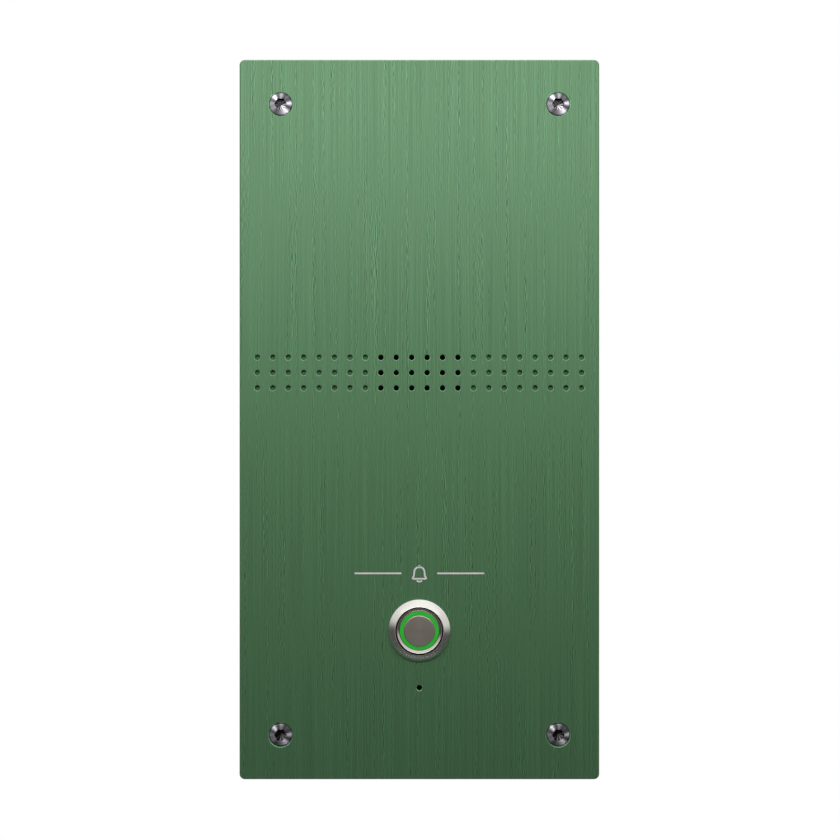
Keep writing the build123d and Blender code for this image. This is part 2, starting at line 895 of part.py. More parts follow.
# Microphone: a capsule in a rubber boot, with a cloth screen against the plate
with BuildPart() as microphone_boot:
    with BuildSketch(half_section(microphone_height)):
        with BuildLine():
            Polyline(
                (screen_diameter / 2 + base_clearance, 0),
                (boot_radius, 0),
                (boot_radius, microphone_back + boot_rear_lip),
                (boot_rear_opening / 2, microphone_back + boot_rear_lip),
                (boot_rear_opening / 2, microphone_back),
                (microphone_diameter / 2 + base_clearance, microphone_back),
                (microphone_diameter / 2 + base_clearance, boot_front),
                (boot_bore_diameter / 2, boot_front),
                (boot_bore_diameter / 2, screen_thickness),
                (screen_diameter / 2 + base_clearance, screen_thickness),
                close=True,
            )
        make_face()
    revolve(axis=depth_axis(microphone_height))
write(microphone_boot.part, "microphone_boot")

with BuildPart() as microphone_screen:
    with BuildSketch(level(0)):
        with Locations((0, microphone_height)):
            Circle(screen_diameter / 2)
    extrude(amount=-screen_thickness)
write(microphone_screen.part, "microphone_screen")

with BuildPart() as microphone:
    with BuildSketch(level(boot_front)):
        with Locations((0, microphone_height)):
            Circle(microphone_diameter / 2)
    extrude(amount=-microphone_thickness)
    with BuildSketch(level(microphone_back)):
        with Locations((0, microphone_height)):
            with GridLocations(0, microphone_pin_spacing, 1, 2):
                Rectangle(microphone_pin_width, microphone_pin_width)
    extrude(amount=-microphone_pin_length)
write(microphone.part, "microphone")

# Pillars on the back of the plate: long ones for the housing, short ones for the board
with BuildPart() as housing_pillars:
    with BuildSketch(level(0)):
        with housing_corners():
            RegularPolygon(pillar_diameter / 2, 6)
    extrude(amount=-pillar_length)
    with BuildSketch(level(pillar_length)):
        with housing_corners():
            Circle(housing_screw_diameter / 2 + thread_clearance)
    extrude(amount=pillar_thread_depth, mode=Mode.SUBTRACT)
write(housing_pillars.part, "housing_pillars")

with BuildPart() as board_pillars:
    with BuildSketch(level(0)):
        with Locations((0, board_middle)):
            with board_corners():
                RegularPolygon(board_pillar_diameter / 2, 6)
    extrude(amount=-board_depth)
    with BuildSketch(level(board_depth)):
        with Locations((0, board_middle)):
            with board_corners():
                Circle(board_screw_diameter / 2 + thread_clearance)
    extrude(amount=board_screw_length, mode=Mode.SUBTRACT)
write(board_pillars.part, "board_pillars")

# Rear housing: a moulded box with a grooved rim, corner bosses, ribs and an open connector well
rim_radius = housing_corner_radius - housing_rim_width
cavity_radius = housing_corner_radius - housing_wall
groove_outer_inset = housing_groove_inset
groove_inner_inset = housing_groove_inset + housing_groove_width
with BuildPart() as rear_housing:
    with BuildSketch(level(0)):
        RectangleRounded(housing_width, housing_height, housing_corner_radius)
    extrude(amount=-housing_depth)
    fillet(rear_housing.faces().sort_by(Axis.Y)[-1].edges(), housing_rear_round)
    with BuildSketch(level(0)):
        RectangleRounded(
            housing_width - 2 * housing_rim_width,
            housing_height - 2 * housing_rim_width,
            rim_radius,
        )
    extrude(amount=-housing_rim_depth, mode=Mode.SUBTRACT)
    with BuildSketch(level(housing_rim_depth)):
        RectangleRounded(
            housing_width - 2 * housing_wall, housing_height - 2 * housing_wall, cavity_radius
        )
    extrude(amount=-(housing_inside - housing_rim_depth), mode=Mode.SUBTRACT)
    with BuildSketch(level(0)):
        RectangleRounded(
            housing_width - 2 * groove_outer_inset,
            housing_height - 2 * groove_outer_inset,
            housing_corner_radius - groove_outer_inset,
        )
        RectangleRounded(
            housing_width - 2 * groove_inner_inset,
            housing_height - 2 * groove_inner_inset,
            housing_corner_radius - groove_inner_inset,
            mode=Mode.SUBTRACT,
        )
    extrude(amount=-housing_groove_depth, mode=Mode.SUBTRACT)
    with BuildSketch(level(housing_inside)):
        with housing_corners():
            Circle(housing_boss_diameter / 2)
        with Locations((0, rib_height)):
            with GridLocations(0, rib_spacing, 1, rib_count):
                Rectangle(rib_length, rib_thickness)
    extrude(amount=rib_depth)
    with BuildSketch(level(housing_inside)):
        with housing_corners():
            Circle(housing_boss_diameter / 2)
    extrude(amount=housing_inside - pillar_length)
    with BuildSketch(level(housing_inside)):
        with Locations((0, well_height)):
            RectangleRounded(
                well_width + 2 * well_wall, well_size_z + 2 * well_wall, well_corner_radius
            )
    extrude(amount=housing_inside - well_front)
    with BuildSketch(level(housing_depth)):
        with Locations((0, well_height)):
            Rectangle(well_width, well_size_z)
    extrude(amount=housing_depth - well_front, mode=Mode.SUBTRACT)
    with BuildSketch(level(housing_depth)):
        with housing_corners():
            Circle(housing_screw_diameter / 2 + shank_clearance)
    extrude(amount=housing_depth - pillar_length, mode=Mode.SUBTRACT)
    with BuildSketch(level(housing_depth)):
        with housing_corners():
            Circle(housing_screw_head_diameter / 2 + head_side_clearance)
    extrude(amount=housing_screw_recess_depth, mode=Mode.SUBTRACT)
write(rear_housing.part, "rear_housing")

with BuildPart() as housing_seal:
    with BuildSketch(level(0)):
        RectangleRounded(
            housing_width - 2 * (groove_outer_inset + housing_seal_clearance),
            housing_height - 2 * (groove_outer_inset + housing_seal_clearance),
            housing_corner_radius - groove_outer_inset - housing_seal_clearance,
        )
        RectangleRounded(
            housing_width - 2 * (groove_inner_inset - housing_seal_clearance),
            housing_height - 2 * (groove_inner_inset - housing_seal_clearance),
            housing_corner_radius - groove_inner_inset + housing_seal_clearance,
            mode=Mode.SUBTRACT,
        )
    extrude(amount=-housing_groove_depth)
write(housing_seal.part, "housing_seal")

housing_screw_seat = housing_depth - housing_screw_recess_depth
with BuildPart() as housing_screws:
    with BuildSketch(level(housing_screw_seat)):
        with housing_corners():
            Circle(housing_screw_head_diameter / 2)
    extrude(amount=-housing_screw_head_height)
    with BuildSketch(level(housing_screw_seat)):
        with housing_corners():
            Circle(housing_screw_diameter / 2)
    extrude(amount=housing_screw_length)
    with BuildSketch(level(housing_screw_seat + housing_screw_head_height)):
        with housing_corners():
            Rectangle(housing_screw_head_diameter, housing_screw_slot_width)
    extrude(amount=housing_screw_slot_depth, mode=Mode.SUBTRACT)
write(housing_screws.part, "housing_screws")

# Main board on its pillars, and the screws that hold it
with BuildPart() as main_board:
    with BuildSketch(level(board_depth)):
        with Locations((0, board_middle)):
            RectangleRounded(board_width, board_height, board_corner_radius)
            with board_corners():
                Circle(board_screw_diameter / 2 + shank_clearance, mode=Mode.SUBTRACT)
    extrude(amount=-board_thickness)
write(main_board.part, "main_board")

with BuildPart() as board_screws:
    with BuildSketch(level(board_back)):
        with Locations((0, board_middle)):
            with board_corners():
                Circle(board_screw_head_diameter / 2)
    extrude(amount=-board_screw_head_height)
    with BuildSketch(level(board_back)):
        with Locations((0, board_middle)):
            with board_corners():
                Circle(board_screw_diameter / 2)
    extrude(amount=board_screw_length)
write(board_screws.part, "board_screws")

# Connectors in the well: a network jack and a pluggable header, sealed against the board
with BuildPart() as well_gasket:
    with BuildSketch(level(board_back)):
        with Locations((0, well_height)):
            RectangleRounded(
                well_width + 2 * well_wall, well_size_z + 2 * well_wall, well_corner_radius
            )
            Rectangle(well_width, well_size_z, mode=Mode.SUBTRACT)
    extrude(amount=-well_gasket_thickness)
write(well_gasket.part, "well_gasket")

jack_back = board_back + jack_length
contact_side = jack_mouth_size_z / 2
with BuildPart() as network_jack:
    with BuildSketch(level(board_back)):
        with Locations((jack_offset, well_height)):
            Rectangle(jack_width, jack_size_z)
    extrude(amount=-jack_length)
    with BuildSketch(level(jack_back)):
        with Locations((jack_offset, well_height)):
            Rectangle(jack_mouth_width, jack_mouth_size_z)
        with Locations((jack_offset, well_height - (jack_mouth_size_z + jack_latch_size_z) / 2)):
            Rectangle(jack_latch_width, jack_latch_size_z)
    extrude(amount=jack_mouth_depth, mode=Mode.SUBTRACT)
write(network_jack.part, "network_jack")

# Jack contacts: eight spring wires that lean into the mouth from its upper wall
with BuildPart() as network_contacts:
    for contact in range(jack_contact_count):
        across = jack_offset + (contact - (jack_contact_count - 1) / 2) * jack_contact_spacing
        with BuildSketch(Plane.YZ.offset(across - jack_contact_wire / 2)):
            with BuildLine():
                Polyline(
                    (jack_back - jack_mouth_depth, well_height + contact_side - jack_contact_reach),
                    (jack_back - jack_contact_wire, well_height + contact_side - jack_contact_wire),
                    (jack_back - jack_contact_wire, well_height + contact_side),
                    (
                        jack_back - jack_mouth_depth,
                        well_height + contact_side - jack_contact_reach + jack_contact_wire,
                    ),
                    close=True,
                )
            make_face()
        extrude(amount=jack_contact_wire)
write(network_contacts.part, "network_contacts")

with BuildPart() as terminal_header:
    with BuildSketch(level(board_back)):
        with Locations((header_offset, well_height)):
            Rectangle(header_width, header_size_z)
    extrude(amount=-header_length)
    with BuildSketch(level(board_back + header_floor)):
        with Locations((header_offset, well_height)):
            Rectangle(header_width - 2 * header_wall, header_size_z - 2 * header_wall)
    extrude(amount=-(header_length - header_floor), mode=Mode.SUBTRACT)
write(terminal_header.part, "terminal_header")

with BuildPart() as header_pins:
    with BuildSketch(level(board_back + header_floor)):
        with Locations((header_offset, well_height)):
            with GridLocations(header_pin_spacing, 0, header_poles, 1):
                Rectangle(header_pin, header_pin)
    extrude(amount=-header_pin_rise)
write(header_pins.part, "header_pins")

# Parts soldered to the back of the main board
with BuildPart() as relay:
    with BuildSketch(level(board_back)):
        with Locations(on_board(relay_share)):
            Rectangle(relay_width, relay_size_z)
    extrude(amount=-relay_height)
    chamfer(relay.faces().sort_by(Axis.Y)[-1].edges(), relay_edge_bevel)
write(relay.part, "relay")

with BuildPart() as capacitors:
    with BuildSketch(level(board_back)):
        with Locations(on_board(capacitor_share)):
            with GridLocations(capacitor_spacing, 0, capacitor_count, 1):
                Circle(capacitor_diameter / 2)
    extrude(amount=-capacitor_length)
    chamfer(capacitors.faces().group_by(Axis.Y)[-1].edges(), capacitor_edge_bevel)
write(capacitors.part, "capacitors")

with BuildPart() as inductor:
    with BuildSketch(level(board_back)):
        with Locations(on_board(inductor_share)):
            Rectangle(inductor_size, inductor_size)
    extrude(amount=-inductor_base_height)
    with BuildSketch(level(board_back + inductor_base_height)):
        with Locations(on_board(inductor_share)):
            Circle(inductor_core_diameter / 2)
    extrude(amount=-(inductor_height - inductor_base_height))
write(inductor.part, "inductor")

with BuildPart() as transformer:
    with BuildSketch(level(board_back)):
        with Locations(on_board(transformer_share)):
            Rectangle(transformer_width, transformer_size_z)
    extrude(amount=-transformer_height)
write(transformer.part, "transformer")

with BuildPart() as processor:
    with BuildSketch(level(board_back)):
        with Locations(on_board(processor_share)):
            Rectangle(processor_size, processor_size)
    extrude(amount=-processor_thickness)
write(processor.part, "processor")

heatsink_front = board_back + processor_thickness
fin_pitch = (processor_size - heatsink_fin_thickness) / (heatsink_fins - 1)
with BuildPart() as heatsink:
    with BuildSketch(level(heatsink_front)):
        with Locations(on_board(processor_share)):
            Rectangle(processor_size, processor_size)
    extrude(amount=-heatsink_base)
    with BuildSketch(level(heatsink_front + heatsink_base)):
        with Locations(on_board(processor_share)):
            with GridLocations(fin_pitch, 0, heatsink_fins, 1):
                Rectangle(heatsink_fin_thickness, processor_size)
    extrude(amount=-(heatsink_height - heatsink_base))
write(heatsink.part, "heatsink")

with BuildPart() as chips:
    with BuildSketch(level(board_back)):
        with Locations(*[on_board(share) for share in chip_shares]):
            Rectangle(chip_width, chip_size_z)
    extrude(amount=-chip_height)
write(chips.part, "chips")

# Sockets for the wiring: the switch's behind the board, the other two in front of it
button_socket_width = (terminal_count - 1) * terminal_spacing + 2 * socket_end_margin
speaker_socket_width = terminal_spacing + 2 * socket_end_margin
microphone_socket_width = microphone_pin_spacing + 2 * socket_end_margin
with BuildPart() as board_sockets:
    with BuildSketch(level(board_back)):
        with Locations((0, button_socket_height)):
            Rectangle(button_socket_width, socket_size)
    extrude(amount=-socket_height)
    with BuildSketch(level(board_depth)):
        with Locations((0, speaker_socket_height)):
            Rectangle(speaker_socket_width, socket_size)
        with Locations((microphone_socket_side, button_socket_height)):
            Rectangle(microphone_socket_width, socket_size)
    extrude(amount=socket_height)
write(board_sockets.part, "board_sockets")
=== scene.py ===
# %% [markdown]
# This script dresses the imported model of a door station: a tall metal plate on a wall, with a drilled
# sound grille, a ring-lit push switch, a microphone hole and four screws. The model gives every piece
# its place and size. What is left to Blender is what the eye reads as real: the brushed grain, the small
# rounds that catch light, the turned and polished metal, and the glow of the ring.
# Everything is in metres in Blender, X to the right, Z up, and the front faces -Y. Shapes are written
# in millimetres and scaled once, where the mesh is made.

# %% Load the frame
import bmesh
import bpy
import numpy as np
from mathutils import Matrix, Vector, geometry


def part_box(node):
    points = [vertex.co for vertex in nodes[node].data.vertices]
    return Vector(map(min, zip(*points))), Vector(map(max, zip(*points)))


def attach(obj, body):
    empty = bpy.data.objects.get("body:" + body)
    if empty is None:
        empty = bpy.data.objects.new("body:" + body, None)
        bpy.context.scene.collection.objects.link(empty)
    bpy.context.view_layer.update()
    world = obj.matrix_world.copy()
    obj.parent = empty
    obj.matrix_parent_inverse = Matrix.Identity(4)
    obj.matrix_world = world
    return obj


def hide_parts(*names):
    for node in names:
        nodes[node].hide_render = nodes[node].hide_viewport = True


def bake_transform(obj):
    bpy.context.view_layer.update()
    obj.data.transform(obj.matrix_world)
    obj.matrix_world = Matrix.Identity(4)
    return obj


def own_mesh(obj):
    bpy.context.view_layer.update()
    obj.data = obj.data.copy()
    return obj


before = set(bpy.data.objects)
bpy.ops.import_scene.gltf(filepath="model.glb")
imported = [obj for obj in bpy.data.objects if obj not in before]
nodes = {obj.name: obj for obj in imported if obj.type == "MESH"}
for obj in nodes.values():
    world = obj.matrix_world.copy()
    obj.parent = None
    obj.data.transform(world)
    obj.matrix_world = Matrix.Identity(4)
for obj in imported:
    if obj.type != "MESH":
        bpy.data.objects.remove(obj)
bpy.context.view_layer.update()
MM = 0.001


def box_mm(node):
    """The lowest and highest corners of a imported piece, in millimetres."""
    return [np.array(corner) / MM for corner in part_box(node)]


# %% [markdown]
# A few helpers carry the whole script. Colours are written as the hex values that a maker's chart would
# give, and one function turns them to the linear light that a renderer adds up. Another adds a shader
# node and feeds its sockets, so that each material below reads as a list of what it is made of.


# %% Colours and nodes
def linear(hex_colour, alpha=1.0):
    """sRGB hex to linear RGBA: each channel c is c/12.92 below 0.04045 and ((c + 0.055)/1.055)^2.4 above."""
    channels = np.array([int(hex_colour[i:i + 2], 16) for i in (1, 3, 5)]) / 255
    light = np.where(channels <= 0.04045, channels / 12.92, ((channels + 0.055) / 1.055) ** 2.4)
    return (*light.tolist(), alpha)


def feed(node, inputs):
    """Feeds sockets of a node: each gets a link from another node's output, or its own constant."""
    for socket, value in dict(inputs).items():
        if isinstance(value, bpy.types.NodeSocket):
            node.id_data.links.new(value, node.inputs[socket])
        else:
            node.inputs[socket].default_value = value


def add(tree, kind, inputs=(), **settings):
    """Adds one node. Settings are its own properties, and inputs are what feeds its sockets."""
    node = tree.nodes.new("ShaderNode" + kind)
    for name, value in settings.items():
        setattr(node, name, value)
    feed(node, inputs)
    return node


def new_material(name):
    """An empty material: its tree, and the Principled shader that everything below feeds."""
    material = bpy.data.materials.new(name)
    material.use_nodes = True
    tree = material.node_tree
    return material, tree, tree.nodes["Principled BSDF"]


print("Mid green in linear light", [round(value, 3) for value in linear("#477149")[:3]])

# %% [markdown]
# The picture is taken square on and from close by. A camera 324 mm from the plate shifts the switch's
# raised rim by a little over a pixel, away from the middle of the frame. With a 50 mm lens it sees
# 233 mm of plate across the frame, which fits the real 100 by 200 mm.

# %% Camera
CAMERA_FROM_PLATE = 323.9
CAMERA_ASIDE = 0.17
CAMERA_BELOW = -0.13
plate_low, plate_high = box_mm("faceplate")
camera_data = bpy.data.cameras.new("camera")
camera_data.lens = 50.0
camera_data.sensor_width = 36.0
camera_data.clip_start = 0.01
camera = bpy.data.objects.new("camera", camera_data)
camera.location = np.array([CAMERA_ASIDE, plate_low[1] - CAMERA_FROM_PLATE, CAMERA_BELOW]) * MM
camera.rotation_euler = (np.pi / 2, 0.0, 0.0)
bpy.context.scene.collection.objects.link(camera)
bpy.context.scene.camera = camera
bpy.context.scene.view_settings.view_transform = "Standard"
print("Camera at", [round(value, 5) for value in camera.location])

# %% [markdown]
# Every new piece is a skin of points worked out at once with numpy. A round piece is a profile carried
# round an axis, an edge is a profile carried round an outline, and both are the same thing: a grid of
# points whose columns meet at the seam. One function turns such a grid into a closed mesh.


# %% Skins from grids of points
WELD_MM = 0.0005
SHARP_DEGREES = 30
ROUND_STEPS = 4
CORNER_BANDS = ROUND_STEPS + 1  # a softened corner: one straight band, then its curve


def make_piece(name, skins, flat_faces=None, body="panel", replaces=(), materials=(), bands=None):
    """Joins grids of points into one mesh. In each grid every row runs once round, so column 0 follows the
    last one, and row r meets row r + 1. flat_faces adds (points, triangles) as they are. bands numbers the
    material of each band between two rows, grid by grid."""
    points, faces, corners, paint, start = [], [], [], [], 0
    for number, grid in enumerate(skins):
        rows, columns = grid.shape[:2]
        paint.append(np.repeat(bands[number] if bands else [0] * (rows - 1), columns))
        index = start + np.arange(rows * columns).reshape(rows, columns)
        follow = np.roll(index, -1, axis=1)
        faces += np.stack([index[:-1], follow[:-1], follow[1:], index[1:]], -1).reshape(-1, 4).tolist()
        turn, length = np.meshgrid(np.arange(columns), np.cumsum(
            np.r_[0, np.linalg.norm(np.diff(grid[:, 0], axis=0), axis=1)]))
        here = np.stack([turn / columns, length], -1)
        ahead = here + [1 / columns, 0]
        corners.append(np.stack([here[:-1], ahead[:-1], ahead[1:], here[1:]], -2).reshape(-1, 2))
        points.append(grid.reshape(-1, 3))
        start += rows * columns
    curved = len(faces)
    for flat_points, triangles in flat_faces or []:
        faces += (triangles + start).tolist()
        corners.append(flat_points[triangles.ravel()][:, [0, 2]])
        paint.append(np.zeros(len(triangles), int))
        points.append(flat_points)
        start += len(flat_points)
    mesh = bpy.data.meshes.new(name)
    mesh.from_pydata(np.vstack(points) * MM, [], faces)
    mesh.uv_layers.new(name="surface").data.foreach_set("uv", np.vstack(corners).ravel())
    mesh.polygons.foreach_set("use_smooth", np.arange(len(faces)) < curved)
    for material in materials:
        mesh.materials.append(material)
    mesh.polygons.foreach_set("material_index", np.concatenate(paint))
    shape = bmesh.new()
    shape.from_mesh(mesh)
    bmesh.ops.remove_doubles(shape, verts=shape.verts, dist=WELD_MM * MM)
    bmesh.ops.recalc_face_normals(shape, faces=shape.faces)
    open_edges = sum(not edge.is_manifold for edge in shape.edges)
    shape.to_mesh(mesh)
    shape.free()
    mesh.set_sharp_from_angle(angle=np.radians(SHARP_DEGREES))
    piece = bpy.data.objects.new(name, mesh)
    bpy.context.scene.collection.objects.link(piece)
    if body:
        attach(piece, body)
    if replaces:
        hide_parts(*replaces)
    print(f"{name}: {len(mesh.polygons)} faces, {open_edges} open edges")
    return piece


def soften(line, radius, loop=False, steps=ROUND_STEPS):
    """Rounds the corners of a line of points: corner C gives way to the curve (1-t)^2 A + 2t(1-t) C + t^2 B,
    where A and B lie radius before and after it, or at most 0.45 of the stretch there."""
    line = np.array(line, float)
    corner = line if loop else line[1:-1]
    before = (np.roll(line, 1, axis=0) if loop else line[:-2]) - corner
    after = (np.roll(line, -1, axis=0) if loop else line[2:]) - corner
    ends = []
    for side in (before, after):
        length = np.linalg.norm(side, axis=1, keepdims=True)
        ends.append(corner + side / length * np.minimum(radius, 0.45 * length))
    t = np.linspace(0, 1, steps + 1)[None, :, None]
    curve = (1 - t) ** 2 * ends[0][:, None] + 2 * t * (1 - t) * corner[:, None] + t ** 2 * ends[1][:, None]
    curve = curve.reshape(-1, line.shape[1])
    return curve if loop else np.vstack([line[:1], curve, line[-1:]])


def turned(profile, axis, segments=120, loop=False):
    """Carries a profile of (radius, depth) round an axis along Y: at angle a a point goes to
    (x + radius cos a, depth, z + radius sin a). A loop's last point meets its first."""
    profile = np.vstack([profile, profile[:1]]) if loop else np.array(profile, float)
    angle = np.arange(segments) * 2 * np.pi / segments
    radius, depth = profile[:, :1], profile[:, 1:]
    return np.stack([axis[0] + radius * np.cos(angle), depth + 0 * angle,
                     axis[1] + radius * np.sin(angle)], -1)


square = soften([(-1, -1), (1, -1), (1, 1), (-1, 1)], 0.2, loop=True)
print("A square with softened corners has", len(square), "points")

# %% [markdown]
# The studio is one long soft box above the plate and in front of it, turned to face its top, and so
# close that the top of the plate is over three times as bright as its foot. A weaker lamp lies behind
# the plate's front, so that from the street it lights the top edge alone. The background is white to
# the camera, and to glossy and transmitted rays, without adding light to the object. Polished steel
# mirrors the whole studio, so a photographer hangs cards round the front of it: pale ones overhead,
# which make the upper half of a steel cone white, and dark ones behind the camera and below, which
# draw its lower half. Here they are one bowl, seen only by glossy rays. Its light depends on two
# things: the height share z / r, where r is the distance from the axis through the camera, and r.

# %% Studio light
SOFTBOX_SIZE, SOFTBOX_PLACE, SOFTBOX_POWER = (0.57, 0.05), (0.0, -0.189, 0.145), 0.965
SOFTBOX_AIM = 0.094
EDGE_LAMP_SIZE, EDGE_LAMP_PLACE, EDGE_LAMP_POWER = (0.30, 0.05), (0.0, 0.035, 0.24), 0.30
FILL_LIGHT = 0.17


def area_lamp(name, size, place, power, tilt=0.0):
    """A soft rectangular lamp, in metres and watts. It faces down, or is tilted about X, and the camera
    doesn't see it."""
    data = bpy.data.lights.new(name, "AREA")
    data.shape = "RECTANGLE"
    data.size, data.size_y = size
    data.energy = power
    lamp = bpy.data.objects.new(name, data)
    lamp.location = place
    lamp.rotation_euler = (tilt, 0.0, 0.0)
    lamp.visible_camera = False
    bpy.context.scene.collection.objects.link(lamp)


softbox_tilt = np.arctan2(-SOFTBOX_PLACE[1], SOFTBOX_PLACE[2] - SOFTBOX_AIM)
area_lamp("softbox", SOFTBOX_SIZE, SOFTBOX_PLACE, SOFTBOX_POWER, tilt=softbox_tilt)
area_lamp("edge_light", EDGE_LAMP_SIZE, EDGE_LAMP_PLACE, EDGE_LAMP_POWER)

world = bpy.data.worlds.new("studio")
world.use_nodes = True
bpy.context.scene.world = world
room = world.node_tree
room.nodes.clear()


def seen_directly(tree):
    """1 for camera, glossy and transmitted rays, which see the background, and 0 for the light itself."""
    path = add(tree, "LightPath")
    seen = add(tree, "Math", {0: path.outputs["Is Camera Ray"], 1: path.outputs["Is Glossy Ray"]},
               operation="MAXIMUM")
    return add(tree, "Math", {0: seen.outputs[0], 1: path.outputs["Is Transmission Ray"]},
               operation="MAXIMUM").outputs[0]


strength = add(room, "MapRange", {"Value": seen_directly(room), "To Min": FILL_LIGHT, "To Max": 1.0})
sky = add(room, "Background", {"Color": (1, 1, 1, 1), "Strength": strength.outputs[0]})
add(room, "OutputWorld", {"Surface": sky.outputs[0]})
print("Softbox", SOFTBOX_SIZE, "m, tilted", round(float(np.degrees(softbox_tilt)), 1), "degrees")

# %% Floor and cards
FLOOR_BELOW = 0.32
FLOOR_RADIUS = 0.50
FLOOR_FADE_END, FLOOR_LEAST_GLOW = 0.58, 0.62
BOWL_RADIUS = 0.28
BOWL_FADE = (0.5, 0.85)
LEAN = 0.35
FRONT_GREY = 0.16
LOW_GREY = (0.03, 0.045)
HIGH_GREY = (0.62, 0.95)
HORIZON = (-0.44, -0.02)


def stage_sheet(name, grid, material):
    """An open sheet from a grid of points in metres."""
    rows, columns = grid.shape[:2]
    index = np.arange(rows * columns).reshape(rows, columns)
    quads = np.stack([index[:-1, :-1], index[:-1, 1:], index[1:, 1:], index[1:, :-1]], -1)
    mesh = bpy.data.meshes.new(name)
    mesh.from_pydata(grid.reshape(-1, 3), [], quads.reshape(-1, 4).tolist())
    mesh.materials.append(material)
    mesh.polygons.foreach_set("use_smooth", np.ones(len(mesh.polygons), bool))
    sheet = bpy.data.objects.new(name, mesh)
    bpy.context.scene.collection.objects.link(sheet)
    return sheet


floor_paint, tree, shader = new_material("pale_floor_paint")
place = add(tree, "TexCoord").outputs["Object"]
reach = add(tree, "VectorMath", {0: place}, operation="LENGTH").outputs["Value"]
fade = add(tree, "MapRange", {"Value": reach, "From Min": FLOOR_BELOW, "From Max": FLOOR_FADE_END,
                              "To Min": FLOOR_LEAST_GLOW, "To Max": 1.0})
glow = add(tree, "Math", {0: fade.outputs[0], 1: seen_directly(tree)}, operation="MULTIPLY")
feed(shader, {"Base Color": linear("#F2F2F0"), "Roughness": 0.9, "Emission Color": (1, 1, 1, 1),
              "Emission Strength": glow.outputs[0]})
around, out = np.meshgrid(np.linspace(0, 2 * np.pi, 97), np.linspace(0, FLOOR_RADIUS, 13))
stage_sheet("floor", np.stack([out * np.cos(around), out * np.sin(around), 0 * out - FLOOR_BELOW], -1),
            floor_paint)

card, tree, shader = new_material("studio_cards")
place = add(tree, "TexCoord").outputs["Object"]
across = add(tree, "SeparateXYZ", {0: place})
flat_place = add(tree, "VectorMath", {0: place, 1: (1, 0, 1)}, operation="MULTIPLY")
radius = add(tree, "VectorMath", {0: flat_place.outputs[0]}, operation="LENGTH").outputs["Value"]
share = add(tree, "Math", {0: across.outputs["Z"], 1: radius}, operation="DIVIDE")
lean = add(tree, "Math", {0: across.outputs["X"], 1: LEAN, 2: share.outputs[0]}, operation="MULTIPLY_ADD")
low = add(tree, "MapRange", {"Value": share.outputs[0], "From Min": -1.0, "From Max": HORIZON[1],
                             "To Min": LOW_GREY[0], "To Max": LOW_GREY[1]})
high = add(tree, "MapRange", {"Value": share.outputs[0], "To Min": HIGH_GREY[0], "To Max": HIGH_GREY[1]})
above = add(tree, "MapRange", {"Value": lean.outputs[0], "From Min": HORIZON[0], "From Max": HORIZON[1]},
            interpolation_type="SMOOTHSTEP")
outer = add(tree, "MapRange", {"Value": above.outputs[0], "To Min": low.outputs[0],
                               "To Max": high.outputs[0]})
outward = add(tree, "MapRange", {"Value": radius, "From Min": BOWL_FADE[0] * BOWL_RADIUS,
                                 "From Max": BOWL_FADE[1] * BOWL_RADIUS}, interpolation_type="SMOOTHSTEP")
light = add(tree, "MapRange", {"Value": outward.outputs[0], "To Min": FRONT_GREY,
                               "To Max": outer.outputs[0]})
feed(shader, {"Base Color": (0, 0, 0, 1), "Emission Color": linear("#FFFDF9"),
              "Emission Strength": light.outputs[0]})
turn, lift = np.meshgrid(np.radians(np.linspace(-90, 90, 73)), np.radians(np.linspace(-90, 90, 73)))
bowl = stage_sheet("studio_cards", BOWL_RADIUS * np.stack(
    [np.sin(turn) * np.cos(lift), -np.cos(turn) * np.cos(lift), np.sin(lift)], -1), card)
bowl.visible_camera = bowl.visible_diffuse = bowl.visible_shadow = bowl.visible_transmission = False
print("Floor", FLOOR_BELOW, "m below the middle of the plate")

# %% [markdown]
# The plate is brushed metal under a green anodised film. The brush runs up and down: fine hairlines about a
# fifth of a millimetre apart, which wander a little, and short pits and burrs that gather in long veins, as
# in oak. Each pit is lit on one flank and dark on the other, and that light and shade is painted into the
# colour: the difference of one stretched noise at two places a fifth of a millimetre apart, so the same marks
# are painted pale on one side and dark on the other. A real hairline is finer than a pixel here and is drawn
# wide enough to show. The countersinks are a paler green than the plate and shine paler. Inside the holes the
# walls are painted dark as shade, and the floors of the blind ones and the recesses of the screws are painted
# a darker green than the plate, a lighter painted shade.

# %% Green brushed metal
HAIRLINE = (0.22, 60.0)
PIT = (0.28, 2.2)
VEIN = (1.3, 80.0)
WANDER = (30.0, 140.0)
WANDER_MM = 0.4
FLANK_MM = 0.10
brushed_green, tree, shader = new_material("green_anodised_brushed_metal")
place = add(tree, "TexCoord").outputs["Object"]


def per_metre(size):
    """The scale that makes one step of noise this wide and this high, in millimetres."""
    return (1 / (size[0] * MM), 1.0, 1 / (size[1] * MM))


wander_place = add(tree, "Mapping", {"Vector": place, "Scale": per_metre(WANDER)})
wander = add(tree, "TexNoise", {"Vector": wander_place.outputs[0], "Scale": 1.0, "Detail": 1.0})
aside = add(tree, "MapRange", {"Value": wander.outputs["Fac"], "To Min": -WANDER_MM * MM,
                               "To Max": WANDER_MM * MM})
shift = add(tree, "CombineXYZ", {"X": aside.outputs[0]})
brushed_place = add(tree, "VectorMath", {0: place, 1: shift.outputs[0]}, operation="ADD").outputs[0]
hair_place = add(tree, "Mapping", {"Vector": brushed_place, "Scale": per_metre(HAIRLINE)})
hair = add(tree, "TexNoise", {"Vector": hair_place.outputs[0], "Scale": 1.0, "Detail": 3.0})
flanks = []
for side in (-1, 1):
    pit_place = add(tree, "Mapping", {"Vector": brushed_place, "Scale": per_metre(PIT),
                                      "Location": (side * FLANK_MM / PIT[0], 0, 0)})
    flanks.append(add(tree, "TexNoise", {"Vector": pit_place.outputs[0], "Scale": 1.0, "Detail": 2.0}))
# Painted light and shade: one flank of each pit is lit and the other dark, laid into the colour
relief = add(tree, "Math", {0: flanks[1].outputs["Fac"], 1: flanks[0].outputs["Fac"]}, operation="SUBTRACT")
